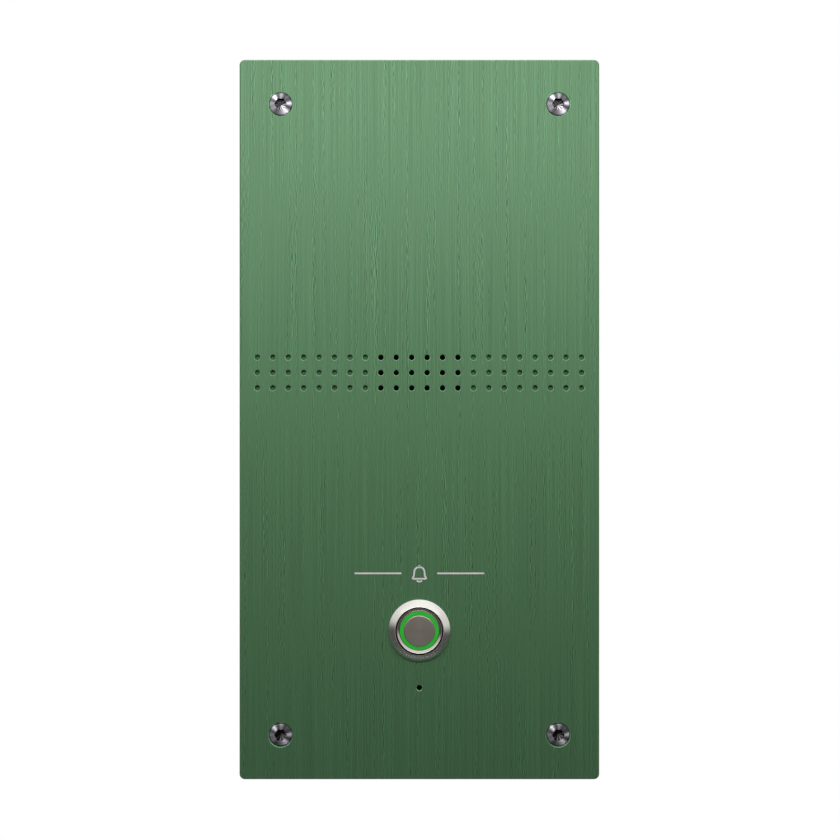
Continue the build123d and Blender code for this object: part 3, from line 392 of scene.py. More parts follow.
vein_place = add(tree, "Mapping", {"Vector": brushed_place, "Scale": per_metre(VEIN)})
vein = add(tree, "TexNoise", {"Vector": vein_place.outputs[0], "Scale": 1.0, "Detail": 2.0})
gather = add(tree, "MapRange", {"Value": vein.outputs["Fac"], "From Min": 0.52, "From Max": 0.76,
                                "To Min": 0.4, "To Max": 4.4})
lit_and_shaded_pits = add(tree, "Math", {0: relief.outputs[0], 1: gather.outputs[0]}, operation="MULTIPLY")
lines = add(tree, "MapRange", {"Value": hair.outputs["Fac"], "From Min": 0.25, "From Max": 0.75,
                               "To Min": 0.75, "To Max": 1.25})
shade = add(tree, "Math", {0: lit_and_shaded_pits.outputs[0], 1: lines.outputs[0]}, operation="ADD")
green = add(tree, "HueSaturation", {"Color": linear("#45714A"), "Value": shade.outputs[0]})
rough = add(tree, "MapRange", {"Value": shade.outputs[0], "From Min": 0.6, "From Max": 1.4,
                               "To Min": 0.65, "To Max": 0.53})
height = add(tree, "Math", {0: flanks[0].outputs["Fac"], 1: hair.outputs["Fac"]}, operation="ADD")
bump = add(tree, "Bump", {"Height": height.outputs[0], "Strength": 0.10, "Distance": 0.02 * MM})
feed(shader, {"Base Color": green.outputs[0], "Roughness": rough.outputs[0], "Normal": bump.outputs[0],
              "Metallic": 0.1})


def cut_metal(name, hex_colour, marks_mm, change, roughness, metallic=0.0):
    """Metal cut by a drill or a countersink: marks of a size along X, Y and Z change its brightness."""
    material, tree, shader = new_material(name)
    place = add(tree, "Mapping", {"Vector": add(tree, "TexCoord").outputs["Object"],
                                  "Scale": tuple(1 / (size * MM) for size in marks_mm)})
    marks = add(tree, "TexNoise", {"Vector": place.outputs[0], "Scale": 1.0, "Detail": 2.0})
    value = add(tree, "MapRange", {"Value": marks.outputs["Fac"], "To Min": 1 - change,
                                   "To Max": 1 + change})
    dye = add(tree, "HueSaturation", {"Color": linear(hex_colour), "Value": value.outputs[0]})
    feed(shader, {"Base Color": dye.outputs[0], "Roughness": roughness, "Metallic": metallic})
    return material


pale_countersink = cut_metal("green_anodised_countersunk", "#7FB289", (0.5, 0.5, 0.5), 0.15, 0.35, metallic=0.35)
# Painted shade: the drilled floors and recesses are a darker green than the plate, and the hole walls are
# darker still, for the shade inside the holes
painted_shade_drilled_green = cut_metal("green_anodised_floor_painted_shade", "#2C5A33", (0.3, 0.1, 0.3), 0.2, 0.6)
painted_shade_wall_green = cut_metal("green_anodised_wall_painted_shade", "#122316", (0.3, 0.1, 0.3), 0.2, 0.6)
print("Hairlines", HAIRLINE[0], "mm apart, pits", PIT, "mm")

# %% [markdown]
# The plate itself is laser-cut and drilled. The holes have a countersink of a fifth of a millimetre,
# which is what shows as a pale rim, and the blind ones end in a drill's cone. It could be cut with
# booleans, but those leave no rounds to catch the light. So each hole, and the plate's edge, is a
# profile carried round its outline, and only the two flat faces between them are filled with
# triangles, by a constrained triangulation that keeps the outlines.

# %% Faceplate
front, back = plate_low[1], plate_high[1]
half_width, half_height = plate_high[0], plate_high[2]
EDGE_BEVEL = 0.4
CORNER_RADIUS = 1.5
COUNTERSINK = 0.2
HOLE_RADIUS = 0.75
GRILLE_HEIGHT = 13.0
GRILLE_MARGIN = 5.0
ROW_SPACING = 4.25
THROUGH_COLUMNS, BLIND_COLUMNS = 6, 8
BLIND_DEPTH = 0.8
DRILL_POINT = 0.1
HOLE_ROUND, RECESS_ROUND, EDGE_ROUND = 0.06, 0.08, 0.1
BRUSHED, CUT, PAINTED_SHADE_DRILLED, PAINTED_SHADE_WALL = range(4)  # the plate's materials, in the order of its slots
SCREW_SPAN = (77.1, 175.2)
RECESS_RADIUS, RECESS_DEPTH, RECESS_BEVEL = 3.25, 2.0, 0.25
CLEARANCE_RADIUS = 2.25
GROOVE_INSET, GROOVE_WIDTH, GROOVE_DEPTH = 5.2, 3.0, 1.0
switch_axis = sum(box_mm("button_bezel"))[[0, 2]] / 2
microphone_axis = sum(box_mm("microphone_boot"))[[0, 2]] / 2
SWITCH_HOLE_RADIUS = 8.1


def outline(inset, steps=10):
    """The plate's outline drawn in by inset: a quarter circle round each corner, points even in angle."""
    radius = max(CORNER_RADIUS - inset, 0.3)
    angle = (np.arange(4)[:, None] * 90 + np.linspace(0, 90, steps)).ravel() * np.pi / 180
    corner = np.repeat([(1, 1), (-1, 1), (-1, -1), (1, -1)], steps, axis=0)
    middle = corner * (np.array([half_width, half_height]) - inset - radius)
    return middle + radius * np.stack([np.cos(angle), np.sin(angle)], -1)


def rim_skin(profile):
    """Carries a profile of (inset, depth) round the plate's outline."""
    return np.stack([np.insert(outline(inset), 1, depth, axis=1) for inset, depth in profile])


def flat_face(rings, depth):
    """Fills the flat between the first ring and the others with triangles that keep every ring's edges."""
    points = np.vstack([ring[:, [0, 2]] for ring in rings])
    starts = np.cumsum([0] + [len(ring) for ring in rings])
    edges = np.concatenate([np.stack([np.arange(a, b), np.r_[np.arange(a + 1, b), a]], -1)
                            for a, b in zip(starts[:-1], starts[1:])])
    flat, _, triangles, *_ = geometry.delaunay_2d_cdt(points.tolist(), edges.tolist(), [], 1, 1e-6)
    flat, triangles = np.array([tuple(point) for point in flat]), np.array(triangles)
    middles = flat[triangles].mean(axis=1)
    for ring in rings[1:]:
        centre = ring[:, [0, 2]].mean(axis=0)
        radius = np.linalg.norm(ring[0, [0, 2]] - centre)
        keep = np.linalg.norm(middles - centre, axis=1) > radius
        triangles, middles = triangles[keep], middles[keep]
    return np.insert(flat, 1, depth, axis=1), triangles


columns = THROUGH_COLUMNS + 2 * BLIND_COLUMNS
column_x = np.linspace(-1, 1, columns) * (half_width - GRILLE_MARGIN)
row_z = GRILLE_HEIGHT + ROW_SPACING * np.array([-1, 0, 1])
screw_axes = [np.array([x, z]) * SCREW_SPAN / 2 for x in (-1, 1) for z in (-1, 1)]
round_edge = soften([(HOLE_RADIUS + COUNTERSINK, front), (HOLE_RADIUS, front + COUNTERSINK),
                     (HOLE_RADIUS, 0)], HOLE_ROUND)
through = np.vstack([round_edge[:-1], (HOLE_RADIUS, back)])
blind = np.vstack([round_edge[:-1], (HOLE_RADIUS, front + BLIND_DEPTH),
                   (0, front + BLIND_DEPTH + DRILL_POINT)])
recess = soften([(RECESS_RADIUS + RECESS_BEVEL, front), (RECESS_RADIUS, front + RECESS_BEVEL),
                 (RECESS_RADIUS, front + RECESS_DEPTH), (CLEARANCE_RADIUS, front + RECESS_DEPTH),
                 (CLEARANCE_RADIUS, back)], RECESS_ROUND)
switch_hole = soften([(SWITCH_HOLE_RADIUS + COUNTERSINK, front), (SWITCH_HOLE_RADIUS, front + COUNTERSINK),
                      (SWITCH_HOLE_RADIUS, back)], HOLE_ROUND)
through_bands = [CUT] * ROUND_STEPS + [PAINTED_SHADE_WALL] * (len(through) - CORNER_BANDS)
blind_bands = [CUT] * ROUND_STEPS + [PAINTED_SHADE_WALL] * (len(blind) - CORNER_BANDS - 1) + [PAINTED_SHADE_DRILLED]
open_holes, blind_holes = [], []
for number, x in enumerate(column_x):
    drilled = BLIND_COLUMNS <= number < BLIND_COLUMNS + THROUGH_COLUMNS
    for z in row_z:
        (open_holes if drilled else blind_holes).append(
            turned(through if drilled else blind, (x, z), segments=40))
open_holes.append(turned(through, microphone_axis, segments=40))
open_holes += [turned(recess, axis, segments=72) for axis in screw_axes]
open_holes.append(turned(switch_hole, switch_axis, segments=96))
hole_bands = [through_bands if len(hole) == len(through)
              else [CUT] * ROUND_STEPS + [PAINTED_SHADE_DRILLED] * (len(hole) - CORNER_BANDS) for hole in open_holes]
groove_out, groove_in = GROOVE_INSET - GROOVE_WIDTH / 2, GROOVE_INSET + GROOVE_WIDTH / 2
edge = soften([(EDGE_BEVEL, front), (0, front + EDGE_BEVEL), (0, back)], EDGE_ROUND)
rim = rim_skin([*edge, (groove_out, back), (groove_out, back - GROOVE_DEPTH),
                (groove_in, back - GROOVE_DEPTH), (groove_in, back)])
make_piece(
    "faceplate_dressed", [rim, *open_holes, *blind_holes],
    bands=[[BRUSHED] * (len(rim) - 1), *hole_bands, *[blind_bands] * len(blind_holes)],
    flat_faces=[flat_face([rim[0], *(hole[0] for hole in open_holes + blind_holes)], front),
                flat_face([rim[-1], *(hole[-1] for hole in open_holes)], back)],
    replaces=("faceplate",),
    materials=(brushed_green, pale_countersink, painted_shade_drilled_green, painted_shade_wall_green))

# %% [markdown]
# The switch and the screws are stainless steel, turned on a lathe. The tool leaves fine rings, here 0.1 to
# 0.3 mm apart, which spread each reflection outwards from the axis. A turned face in the light shows pale and
# dark sectors, and here they are painted into the colour as reflections: strongly on the screws, faintly on
# the bezel. The rings and the painted sectors follow the piece's own surface coordinates, where U runs once
# round the axis and V counts millimetres along the profile. The painted sectors are a sum of waves round the
# axis: a wave of n lobes is cos(n a - p). The bore and the small rounded edges of the switch are left rougher
# than its faces, so that their glints stay soft, and the bore is painted dark as the shade in the gap round
# the cap. A screw's socket is painted dark as the shade in its hollow, with painted reflections towards its
# lower right.


# %% Turned steel
def turned_steel(name, hex_colour, roughness, ring_mm, stretch, marks, painted_sectors=(), level=1.0):
    """Turned stainless steel: rings ring_mm apart change its brightness by marks and roughen it a little.
    Each of the painted_sectors is a painted reflection, given as (lobes, degrees of its brightest lobe,
    change in brightness), around level."""
    material, tree, shader = new_material(name)
    surface = add(tree, "SeparateXYZ", {0: add(tree, "UVMap", uv_map="surface").outputs[0]})
    turn = add(tree, "Math", {0: surface.outputs["X"], 1: 2 * np.pi}, operation="MULTIPLY")
    round_place = add(tree, "CombineXYZ", {
        "X": add(tree, "Math", {0: turn.outputs[0]}, operation="COSINE").outputs[0],
        "Y": add(tree, "Math", {0: turn.outputs[0]}, operation="SINE").outputs[0],
        "Z": add(tree, "Math", {0: surface.outputs["Y"], 1: ring_mm}, operation="DIVIDE").outputs[0]})
    rings = add(tree, "TexNoise", {"Vector": round_place.outputs[0], "Scale": 1.0, "Detail": 2.0})
    value = add(tree, "MapRange", {"Value": rings.outputs["Fac"], "From Min": 0.3, "From Max": 0.7,
                                   "To Min": level * (1 - marks), "To Max": level * (1 + marks)})
    for lobes, brightest, change in painted_sectors:
        wave = add(tree, "Math", {0: turn.outputs[0], 1: lobes, 2: -lobes * np.radians(brightest)},
                   operation="MULTIPLY_ADD")
        lobe = add(tree, "Math", {0: wave.outputs[0]}, operation="COSINE")
        value = add(tree, "Math", {0: lobe.outputs[0], 1: change, 2: value.outputs[0]},
                    operation="MULTIPLY_ADD")
    contrast = add(tree, "Math", {0: value.outputs[0], 1: 2.0}, operation="POWER")
    colour = add(tree, "HueSaturation", {"Color": linear(hex_colour), "Value": contrast.outputs[0]})
    rough = add(tree, "MapRange", {"Value": rings.outputs["Fac"], "From Min": 0.3, "From Max": 0.7,
                                   "To Min": 0.9 * roughness, "To Max": 1.1 * roughness})
    direction = add(tree, "Tangent", direction_type="UV_MAP", uv_map="surface")
    feed(shader, {"Base Color": colour.outputs[0], "Roughness": rough.outputs[0], "Metallic": 1.0,
                  "Anisotropic": stretch, "Anisotropic Rotation": 0.25, "Tangent": direction.outputs[0]})
    return material


# The faint sectors of the bezel are a painted reflection
polished_steel = turned_steel("stainless_steel_polished", "#F1F0ED", 0.17, 0.30, 0.3, 0.010,
                              [(2, 215, 0.02), (5, 230, 0.015)])
cap_steel = turned_steel("stainless_steel_cap", "#D2CFC8", 0.08, 0.30, 0.0, 0.010)
satin_steel = turned_steel("stainless_steel_satin_turned", "#C9C3B8", 0.34, 0.30, 0.2, 0.015)
# Painted shade: the bore is a dark steel, for the shade in the gap round the cap
bore_steel_painted_shade = turned_steel("stainless_steel_bore_painted_shade", "#55524D", 0.4, 0.15, 0.0, 0.05)
edge_steel = turned_steel("stainless_steel_edge", "#D8D5CF", 0.42, 0.15, 0.0, 0.02)
# Painted reflections: the pale and dark sectors of the screw heads are laid into their colour
screw_steel_painted_sectors = turned_steel("stainless_steel_turned_painted_sectors", "#E2DEE8", 0.85, 0.10, 0.0, 0.05,
                           [(2, 136, 0.16), (4, 24, 0.11), (5, 2, 0.10), (6, 9, 0.13), (8, 42, 0.12),
                            (9, 7, 0.07)], level=0.66)
# Painted shade and reflection: the socket is dark for the shade in its hollow, with painted streaks towards
# its lower right
socket_steel_painted_shade = turned_steel("stainless_steel_socket_painted_shade", "#DDDBE0", 0.5, 0.10, 0.0, 0.05,
                            [(1, -52, 0.34), (2, -52, 0.10), (10, -60, 0.26)], level=0.20)
print("Steel finishes:", polished_steel.name, satin_steel.name, screw_steel_painted_sectors.name)

# %% [markdown]
# The switch is four turned pieces, one inside the other: the fixed bezel, the moving cap with its
# concave front, the clear cup whose edge is the lit ring, and the flat face in the middle. Each is one
# closed profile of radius and depth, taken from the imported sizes, with its corners softened by a few
# hundredths of a millimetre. A modifier could bevel them, but a profile shows its own rounds.

# %% Switch
bezel_low, bezel_high = box_mm("button_bezel")
cap_low, cap_high = box_mm("button_cap")
ring_low, ring_high = box_mm("button_light_ring")
face_low, face_high = box_mm("button_face")
BORE, RIM = 6.55, 0.2
BEZEL_EDGE = 0.35
BARREL, BARREL_BORE, SHOULDER = 8.0, 7.1, 0.3
BEZEL_ROUND, CAP_ROUND, FACE_ROUND = 0.08, 0.05, 0.06
bezel_front, bezel_radius = bezel_low[1], bezel_high[0] - switch_axis[0]
bezel = turned(soften([
    (BORE, bezel_front), (BORE + RIM, bezel_front), (bezel_radius, front - BEZEL_EDGE), (bezel_radius, front),
    (BARREL, front), (BARREL, bezel_high[1]), (BARREL_BORE, bezel_high[1]), (BARREL_BORE, SHOULDER),
    (BORE, SHOULDER)], BEZEL_ROUND, loop=True), switch_axis, segments=160, loop=True)
POLISHED, PAINTED_SHADE_BORE, EDGE = range(3)
# From the mouth of the bore round the profile: its round, the rim, cone and barrel, and the bore
bezel_bands = ([PAINTED_SHADE_BORE] * ROUND_STEPS + [EDGE] * CORNER_BANDS + [POLISHED] * (5 * CORNER_BANDS)
               + [PAINTED_SHADE_BORE] * (2 * CORNER_BANDS + 1))
make_piece("button_bezel_dressed", [bezel], replaces=("button_bezel",),
           materials=(polished_steel, bore_steel_painted_shade, edge_steel), bands=[bezel_bands])

CAP_GAP, CAP_RIM, CAP_LIP, CAP_OPENING = 0.3, 0.1, 7.0, 5.0
RING_GAP = 0.03
cap_bands = [1] * (2 * CORNER_BANDS - 1) + [0] * (7 * CORNER_BANDS + 1)  # the rim, then the rest
cap_radius, ring_radius = BORE - CAP_GAP, ring_high[0] - switch_axis[0]
cap_front, ring_front, ring_back = cap_low[1], ring_low[1], ring_high[1]
cap = turned(soften([
    (cap_radius - CAP_RIM, cap_front), (cap_radius, cap_front), (cap_radius, SHOULDER), (CAP_LIP, SHOULDER),
    (CAP_LIP, cap_high[1]), (CAP_OPENING, cap_high[1]), (CAP_OPENING, ring_back),
    (ring_radius + RING_GAP, ring_back), (ring_radius + RING_GAP, ring_front)], CAP_ROUND, loop=True),
    switch_axis, segments=160, loop=True)
make_piece("button_cap_dressed", [cap], body="call_button", replaces=("button_cap",),
           materials=(cap_steel, edge_steel), bands=[cap_bands])

FACE_BEVEL = 0.2
face_radius = face_high[0] - switch_axis[0]
face = turned(soften([
    (0, face_low[1]), (face_radius - FACE_BEVEL, face_low[1]), (face_radius, face_low[1] + FACE_BEVEL),
    (face_radius, face_high[1]), (0, face_high[1])], FACE_ROUND), switch_axis, segments=120)
make_piece("button_face_dressed", [face], body="call_button", replaces=("button_face",),
           materials=(satin_steel,))

# %% [markdown]
# The ring is the edge of a clear acrylic cup with six lamps behind it. Acrylic that is lit from behind
# shows an even, slightly milky green, a little paler over each lamp, so the material both glows and
# reflects. The glow stays under white, or the ring would lose its colour.

# %% Light ring
RING_ROUND = 0.08
LAMPS = 6
lit_acrylic, tree, shader = new_material("acrylic_lit_green")
surface = add(tree, "SeparateXYZ", {0: add(tree, "UVMap", uv_map="surface").outputs[0]})
turns = add(tree, "Math", {0: surface.outputs["X"], 1: 2 * np.pi * LAMPS}, operation="MULTIPLY")
near_lamp = add(tree, "Math", {0: turns.outputs[0]}, operation="COSINE")
milk = add(tree, "TexNoise", {"Vector": add(tree, "TexCoord").outputs["Object"], "Scale": 1 / (0.8 * MM)})
cloud = add(tree, "MapRange", {"Value": milk.outputs["Fac"], "To Min": 0.92, "To Max": 1.08})
lamp_share = add(tree, "MapRange", {"Value": near_lamp.outputs[0], "From Min": -1.0,
                                    "To Min": 0.96, "To Max": 1.04})
glow = add(tree, "Math", {0: cloud.outputs[0], 1: lamp_share.outputs[0]}, operation="MULTIPLY")
feed(shader, {"Base Color": linear("#1F5A28"), "Roughness": 0.3, "IOR": 1.49,
              "Emission Color": linear("#17961F"), "Emission Strength": glow.outputs[0]})
ring_inner = face_radius + RING_GAP
cup = turned(soften([
    (0, face_high[1]), (ring_inner, face_high[1]), (ring_inner, ring_front), (ring_radius, ring_front),
    (ring_radius, ring_back), (0, ring_back)], RING_ROUND), switch_axis, segments=120)
make_piece("button_light_ring_dressed", [cup], body="call_button", replaces=("button_light_ring",),
           materials=(lit_acrylic,))

# %% [markdown]
# A screw is round outside, six-sided in its socket and round again at the socket's drilled point. Every
# ring has the same number of points, so one grid can pass from one shape to the next: a ring is a
# distance from the axis for each angle. A hexagon's distance is its half width across flats, divided
# by the cosine of the angle from the middle of the nearest side. The thread is a ring too: its
# distance rises and falls once per pitch, and starts a little later at each angle, which is a helix.

# %% Screws
SOCKET_HALF, SOCKET_DEPTH, SOCKET_POINT = 1.5, 1.2, 0.45
SOCKET_MOUTH, SOCKET_BANDS = 0.12, 3
HEX_CORNER = 1.155  # a hexagon's corners lie this much further out than its flats
HEAD_RADIUS, HEAD_BEVEL, HEAD_ROUND = 3.1, 0.25, 0.1
HEAD_CROWN, HEAD_THICKNESS = 0.15, 1.6
NECK_RADIUS, NECK_END = 1.75, 0.35
THREAD_RADIUS, THREAD_PITCH, THREAD_DEPTH, TIP_BEVEL = 2.0, 0.7, 0.40, 0.6
SCREW_SEGMENTS, ROWS_PER_PITCH = 72, 8
screw_low, screw_high = box_mm("mounting_screws")
head_front, head_back, screw_tip = screw_low[1], front + HEAD_THICKNESS, screw_high[1]
angle = np.arange(SCREW_SEGMENTS) * 2 * np.pi / SCREW_SEGMENTS
hexagon = SOCKET_HALF / np.cos(angle % (np.pi / 3) - np.pi / 6)
circle = np.ones(SCREW_SEGMENTS)


def thread(depth):
    """The distance from the axis: it falls from the crest by a wave of one pitch, ahead by the angle's share,
    and the bevelled tip caps it."""
    phase = depth[:, None] / THREAD_PITCH - angle / (2 * np.pi)
    wave = np.abs(2 * (phase % 1) - 1)
    cap = THREAD_RADIUS - np.maximum(TIP_BEVEL - (screw_tip - depth[:, None]), 0)
    return np.minimum(THREAD_RADIUS - THREAD_DEPTH * wave, cap)


outside = soften([(NECK_RADIUS, NECK_END), (NECK_RADIUS, head_back), (HEAD_RADIUS, head_back),
                  (HEAD_RADIUS, head_front + HEAD_CROWN + HEAD_BEVEL),
                  (HEAD_RADIUS - HEAD_BEVEL, head_front + HEAD_CROWN),
                  (SOCKET_HALF * HEX_CORNER + SOCKET_MOUTH, head_front)], HEAD_ROUND)
thread_depth = np.arange(screw_tip, NECK_END, -THREAD_PITCH / ROWS_PER_PITCH)
distance = np.vstack([
    0 * circle, thread(thread_depth), outside[:, :1] * circle,
    hexagon, hexagon, SOCKET_HALF * circle, 0 * circle])
depth = np.r_[screw_tip, thread_depth, outside[:, 1], head_front + SOCKET_MOUTH,
              head_front + SOCKET_DEPTH, head_front + SOCKET_DEPTH,
              head_front + SOCKET_DEPTH + SOCKET_POINT]
screws = [np.stack([x + distance * np.cos(angle), depth[:, None] * circle, z + distance * np.sin(angle)], -1)
          for x, z in screw_axes]
make_piece("mounting_screws_dressed", screws, replaces=("mounting_screws",),
           materials=(screw_steel_painted_sectors, socket_steel_painted_shade),
           bands=[[0] * (len(distance) - 1 - SOCKET_BANDS) + [1] * SOCKET_BANDS] * len(screws))

# %% [markdown]
# Between the grille and the switch such a station is printed with a small sign that says what the
# switch is for. This one is a bell between two lines, in white ink laid on by screen printing: strokes
# nearly half a millimetre wide and so thin that they only cover the grain. A stroke is a path with a flat
# rectangle carried along it.

# %% Bell sign
SIGN_HEIGHT = -42.7
SIGN_WIDTH = 36.0
SIGN_STROKE = 0.45
INK = 0.02
SIGN_LINE = 13.0


def capped(rows):
    """Closes an open tube: each end gets one more row, with all its points in the end's middle."""
    ends = [np.repeat(row.mean(axis=0)[None, None], rows.shape[1], axis=1) for row in (rows[0], rows[-1])]
    return np.concatenate([ends[0], rows, ends[1]])


def stroke(path, loop=False):
    """Ink along a path of (x, z): at each point a rectangle as wide as the stroke, across the path, and as
    deep as the ink."""
    path = np.array(path, float)
    ahead = (np.roll(path, -1, axis=0) - np.roll(path, 1, axis=0)) if loop else np.gradient(path, axis=0)
    side = np.stack([-ahead[:, 1], ahead[:, 0]], -1) * SIGN_STROKE / 2
    side = side / np.linalg.norm(ahead, axis=1)[:, None]
    corners = np.stack([path + side, path + side, path - side, path - side], 1)
    depth = np.broadcast_to(front - INK * np.array([0, 1, 1, 0]), corners.shape[:2])
    rows = np.stack([corners[..., 0], depth, corners[..., 1] + SIGN_HEIGHT], -1)
    return np.concatenate([rows, rows[:1]]) if loop else capped(rows)


bell = soften([(-2.1, -1.5), (-1.5, -0.8), (-1.4, 0.9), (-0.7, 1.7), (0.7, 1.7), (1.4, 0.9), (1.5, -0.8),
               (2.1, -1.5)], 0.6, loop=True, steps=8)
swing = np.radians(np.linspace(200, 340, 13))
clapper = np.stack([0.75 * np.cos(swing), -1.75 + 0.55 * np.sin(swing)], -1)
hanger = [(0, 1.75), (0, 2.3)]
line_start, line_end = SIGN_WIDTH / 2 - SIGN_LINE, SIGN_WIDTH / 2
printed_ink, tree, shader = new_material("screen_printed_ink_white")
place = add(tree, "TexCoord").outputs["Object"]
weave = add(tree, "TexNoise", {"Vector": place, "Scale": 1 / (0.25 * MM), "Detail": 2.0})
cover = add(tree, "MapRange", {"Value": weave.outputs["Fac"], "To Min": 0.90, "To Max": 1.06})
ink_white = add(tree, "HueSaturation", {"Color": linear("#E2DCDE"), "Value": cover.outputs[0]})
feed(shader, {"Base Color": ink_white.outputs[0], "Roughness": 0.45})
make_piece("printed_bell_sign", [
    stroke(bell, loop=True), stroke(clapper), stroke(hanger),
    stroke([(-line_end, 0), (-line_start, 0)]), stroke([(line_start, 0), (line_end, 0)])],
    materials=(printed_ink,))

# %% [markdown]
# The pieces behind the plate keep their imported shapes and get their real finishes. Most of them are one
# idea: a colour, and a grain of a known size that changes its brightness a little and gives it relief.
# Moulded plastic copies the spark-eroded steel of its mould, foam shows its cells, rubber its bloom, and
# zinc plate its cloudy passivation. Metals differ in colour and in how much the grain roughens them.


# %% Grained finishes
def grained(name, hex_colour, roughness, grain_mm, metallic=0.0, change=0.06, relief_mm=0.0,
            pattern="TexNoise", output="Fac", stretch=(1, 1, 1)):
    """One pattern with steps of grain_mm, stretched along each axis, changes the brightness by change,
    the roughness by a tenth, and stands up by relief_mm."""
    material, tree, shader = new_material(name)
    scale = tuple(1 / (grain_mm * MM * share) for share in stretch)
    place = add(tree, "Mapping", {"Vector": add(tree, "TexCoord").outputs["Object"], "Scale": scale})
    grain = add(tree, pattern, {"Vector": place.outputs[0], "Scale": 1.0}).outputs[output]
    value = add(tree, "MapRange", {"Value": grain, "From Min": 0.2, "From Max": 0.8,
                                   "To Min": 1 - change, "To Max": 1 + change})
    colour = add(tree, "HueSaturation", {"Color": linear(hex_colour), "Value": value.outputs[0]})
    rough = add(tree, "MapRange", {"Value": grain, "To Min": 0.9 * roughness, "To Max": 1.1 * roughness})
    feed(shader, {"Base Color": colour.outputs[0], "Roughness": rough.outputs[0], "Metallic": metallic})
    if relief_mm:
        relief = add(tree, "Bump", {"Height": grain, "Strength": 0.6, "Distance": relief_mm * MM})
        feed(shader, {"Normal": relief.outputs[0]})
    return material


def finish(material, *names):
    """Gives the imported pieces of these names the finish."""
    for name in names:
        mesh = nodes[name].data
        mesh.materials.clear()
        mesh.materials.append(material)


finish(grained("abs_black_spark_eroded", "#3A3C3F", 0.55, 0.5, change=0.10, relief_mm=0.04), "rear_housing")
finish(grained("abs_black_smooth", "#202123", 0.35, 1.2, change=0.08), "button_base", "network_jack")
finish(grained("polyamide_green", "#2F8F4A", 0.35, 0.9, change=0.07, relief_mm=0.01), "terminal_header")
finish(grained("polyamide_cream", "#D9CFAE", 0.45, 0.9, change=0.05), "board_sockets")
finish(grained("relay_case_orange", "#D9741E", 0.25, 1.5, change=0.06), "relay")
finish(grained("epoxy_black_moulded", "#1D1E20", 0.55, 0.2, change=0.18, relief_mm=0.01),
       "transformer", "processor", "chips")
finish(grained("polycarbonate_milky", "#DDE6DE", 0.2, 1.5, change=0.03), "button_plunger")
finish(grained("lamp_phosphor_yellow", "#E4D06A", 0.3, 0.3, change=0.08), "lamps")
finish(grained("foam_black_closed_cell", "#242425", 0.95, 0.45, change=0.35, relief_mm=0.15,
               pattern="TexVoronoi", output="Distance"),
       "wall_seal", "housing_seal", "speaker_gasket", "well_gasket")
rubber = grained("rubber_black_moulded", "#1C1C1D", 0.7, 0.4, change=0.15, relief_mm=0.01)
finish(rubber, "head_washers", "button_seal", "microphone_boot")
finish(grained("ferrite_grey_sintered", "#323335", 0.65, 0.35, change=0.25, relief_mm=0.02), "speaker_magnet")
finish(grained("paper_cone_pressed", "#3A3835", 0.9, 0.5, change=0.25, relief_mm=0.03, stretch=(1, 1, 3)),
       "speaker_cone")
print("Plastics, rubbers and foams are done")

# %% Metals behind the plate
finish(grained("steel_zinc_plated", "#C4CBD0", 0.30, 1.1, metallic=1.0, change=0.10,
               pattern="TexVoronoi", output="Distance"),
       "button_nut", "speaker_frame", "speaker_top_plate", "speaker_yoke", "speaker_screws",
       "housing_screws", "board_screws")
drawn_steel = grained("steel_drawn", "#B4B5B6", 0.32, 0.3, metallic=1.0, change=0.12, stretch=(1, 8, 1))
finish(drawn_steel, "speaker_ring", "speaker_pillars", "housing_pillars", "board_pillars")
finish(grained("aluminium_can_drawn", "#D0D2D5", 0.28, 0.25, metallic=1.0, change=0.08, stretch=(1, 8, 1)),
       "microphone", "capacitors")
finish(grained("aluminium_black_anodised", "#2B2C2F", 0.42, 0.3, metallic=0.6, change=0.12,
               stretch=(1, 1, 10)), "heatsink")
finish(grained("brass_gold_plated", "#E6C272", 0.24, 0.6, metallic=1.0, change=0.06),
       "button_terminals", "contact_bridge", "network_contacts", "header_pins")
print("Metals are done")

# %% [markdown]
# Three finishes are laid out in lines. A circuit board's copper tracks show as paler green under its
# solder mask, in runs of parallel lines. Cloth shows its ribs, one wave per row of thread. A winding is
# one wave per turn of wire.


# %% Boards, cloth and windings
def ruled(name, hex_colour, hex_line, roughness, pitch_mm, axis, patch_mm=None, metallic=0.0):
    """Lines pitch_mm apart along an axis, between two colours: a sine wave, and where patch_mm is given,
    its sharp crests alone, in patches of that size."""
    material, tree, shader = new_material(name)
    place = add(tree, "TexCoord").outputs["Object"]
    along = add(tree, "SeparateXYZ", {0: place})
    angle = add(tree, "Math", {0: along.outputs[axis], 1: 2 * np.pi / (pitch_mm * MM)}, operation="MULTIPLY")
    wave = add(tree, "Math", {0: angle.outputs[0]}, operation="SINE").outputs[0]
    lines = add(tree, "MapRange", {"Value": wave, "From Min": 0.4 if patch_mm else -1.0,
                                   "From Max": 0.6 if patch_mm else 1.0}).outputs[0]
    if patch_mm:
        patch = add(tree, "TexNoise", {"Vector": place, "Scale": 1 / (patch_mm * MM), "Detail": 0.0})
        here = add(tree, "MapRange", {"Value": patch.outputs["Fac"], "From Min": 0.50, "From Max": 0.52})
        lines = add(tree, "Math", {0: lines, 1: here.outputs[0]}, operation="MULTIPLY").outputs[0]
    colour = add(tree, "MixRGB", {"Fac": lines, "Color1": linear(hex_colour), "Color2": linear(hex_line)})
    relief = add(tree, "Bump", {"Height": lines, "Strength": 0.5, "Distance": 0.04 * MM})
    feed(shader, {"Base Color": colour.outputs[0], "Normal": relief.outputs[0], "Roughness": roughness,
                  "Metallic": metallic})
    return material


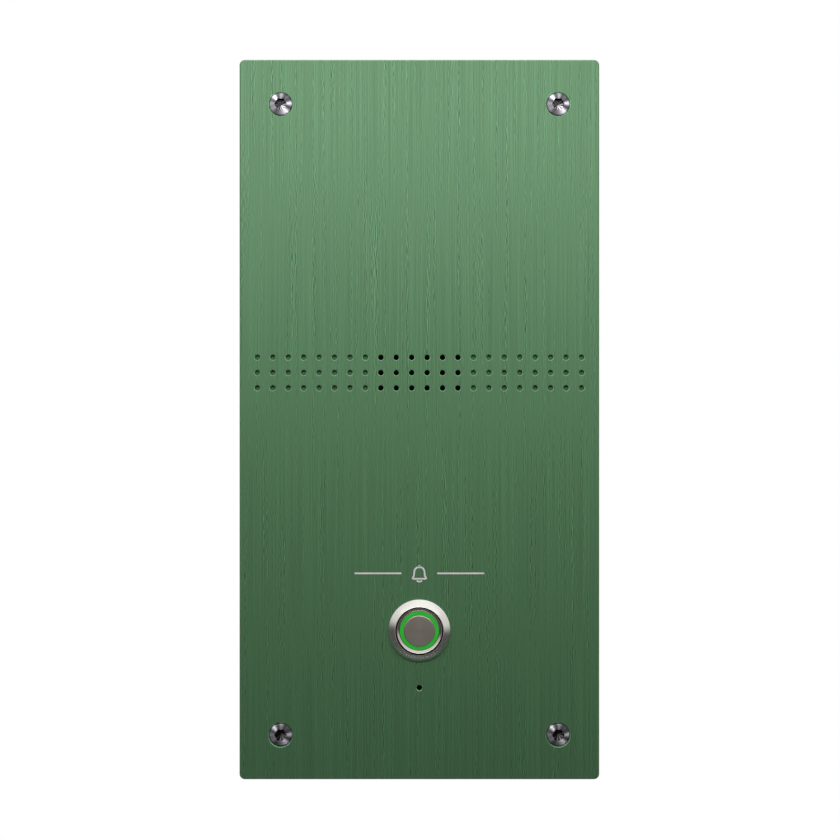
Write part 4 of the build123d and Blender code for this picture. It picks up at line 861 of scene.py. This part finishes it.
finish(ruled("board_green_solder_mask", "#1C6B3A", "#2F8A50", 0.3, 1.27, "X", patch_mm=9.0),
       "main_board", "speaker_terminals")
finish(ruled("board_white_solder_mask", "#DEDFDA", "#C9CBC4", 0.35, 1.27, "X", patch_mm=4.0), "lamp_board")
finish(ruled("copper_wire_wound", "#8C4A26", "#D98A52", 0.3, 0.3, "Y", metallic=1.0),
       "voice_coil", "inductor")
finish(ruled("cloth_black_woven", "#0E0E0F", "#262627", 0.9, 0.4, "Z"),
       "speaker_membrane", "microphone_screen")
print("Boards, cloth and windings are done")

# %% [markdown]
# Two pieces change shape when the station works, so each gets a mesh of its own. The return spring is a
# circle of wire carried along a helix. The loudspeaker's surround is a rubber corrugation that runs from the
# basket to the cone. A blend between two bodies runs along one straight direction, so the ring is moulded
# here in sectors.

# %% Return spring
WIRE, SPRING_TURNS, TURN_STEPS, WIRE_SIDES, SWITCH_TRAVEL = 0.5, 4, 24, 10, 1.5
spring_low, spring_high = box_mm("button_spring")
coil_radius = (spring_high[0] - spring_low[0] - WIRE) / 2
turn = np.linspace(0, 2 * np.pi * SPRING_TURNS, TURN_STEPS * SPRING_TURNS + 1)[:, None]
side = np.arange(WIRE_SIDES) * 2 * np.pi / WIRE_SIDES
rise = np.linspace(spring_low[1] + WIRE / 2, spring_high[1] - WIRE / 2, len(turn))[:, None]
out = coil_radius + WIRE / 2 * np.cos(side)
wire = np.stack([switch_axis[0] + np.cos(turn) * out, rise + WIRE / 2 * np.sin(side),
                 switch_axis[1] + np.sin(turn) * out], -1)
spring = make_piece("button_spring_dressed", [capped(wire)],
                    replaces=("button_spring",), materials=(drawn_steel,))
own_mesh(spring)

# %% Loudspeaker surround
SURROUND_THICKNESS, SURROUND_LEDGE, SURROUND_WIDTH, SURROUND_LAP, SURROUND_ROLL = 0.3, 1.0, 3.0, 0.6, 1.0
SURROUND_ROUND = 0.4
SECTORS, SECTOR_ROWS = 12, 7
surround_low, surround_high = box_mm("speaker_surround")
speaker_axis = (surround_low + surround_high)[[0, 2]] / 2
outer_radius = surround_high[0] - speaker_axis[0]
ledge = outer_radius - SURROUND_LEDGE
lap, crest = ledge - SURROUND_WIDTH, ledge - SURROUND_WIDTH / 2
rubber_front = soften([
    (outer_radius, surround_low[1]), (ledge, surround_low[1]),
    (crest + SURROUND_WIDTH / 6, surround_low[1] + SURROUND_ROLL),
    (crest - SURROUND_WIDTH / 6, surround_low[1] + SURROUND_ROLL),
    (lap, surround_low[1]), (lap - SURROUND_LAP, surround_low[1])], SURROUND_ROUND)
rubber_back = rubber_front + [0, SURROUND_THICKNESS]
section = np.vstack([rubber_front, rubber_back[::-1]])
middle = np.tile((rubber_front + rubber_back) / 2, (2, 1))
middle[len(rubber_front):] = middle[:len(rubber_front)][::-1]
for sector in range(SECTORS):
    spread = 2 * np.pi / SECTORS * (sector + np.linspace(0, 1, SECTOR_ROWS))
    spread = np.r_[spread[0], spread, spread[-1]][:, None]
    lines = np.stack([middle, *[section] * SECTOR_ROWS, middle])
    radius, depth = lines[..., 0], lines[..., 1]
    piece = make_piece(f"speaker_surround_sector_{sector + 1:02d}", [np.stack([
        speaker_axis[0] + radius * np.cos(spread), depth, speaker_axis[1] + radius * np.sin(spread)], -1)],
        body=None, replaces=("speaker_surround",), materials=(rubber,))
    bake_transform(piece)

# %% Pieces left in a flat colour
FLAT_COLOUR_NODES = 5
undressed = [name for name, node in nodes.items()
             if not node.hide_render
             and not (node.data.materials and node.data.materials[0].use_nodes
                      and len(node.data.materials[0].node_tree.nodes) > FLAT_COLOUR_NODES)]
print("Pieces still in a flat colour:", undressed)
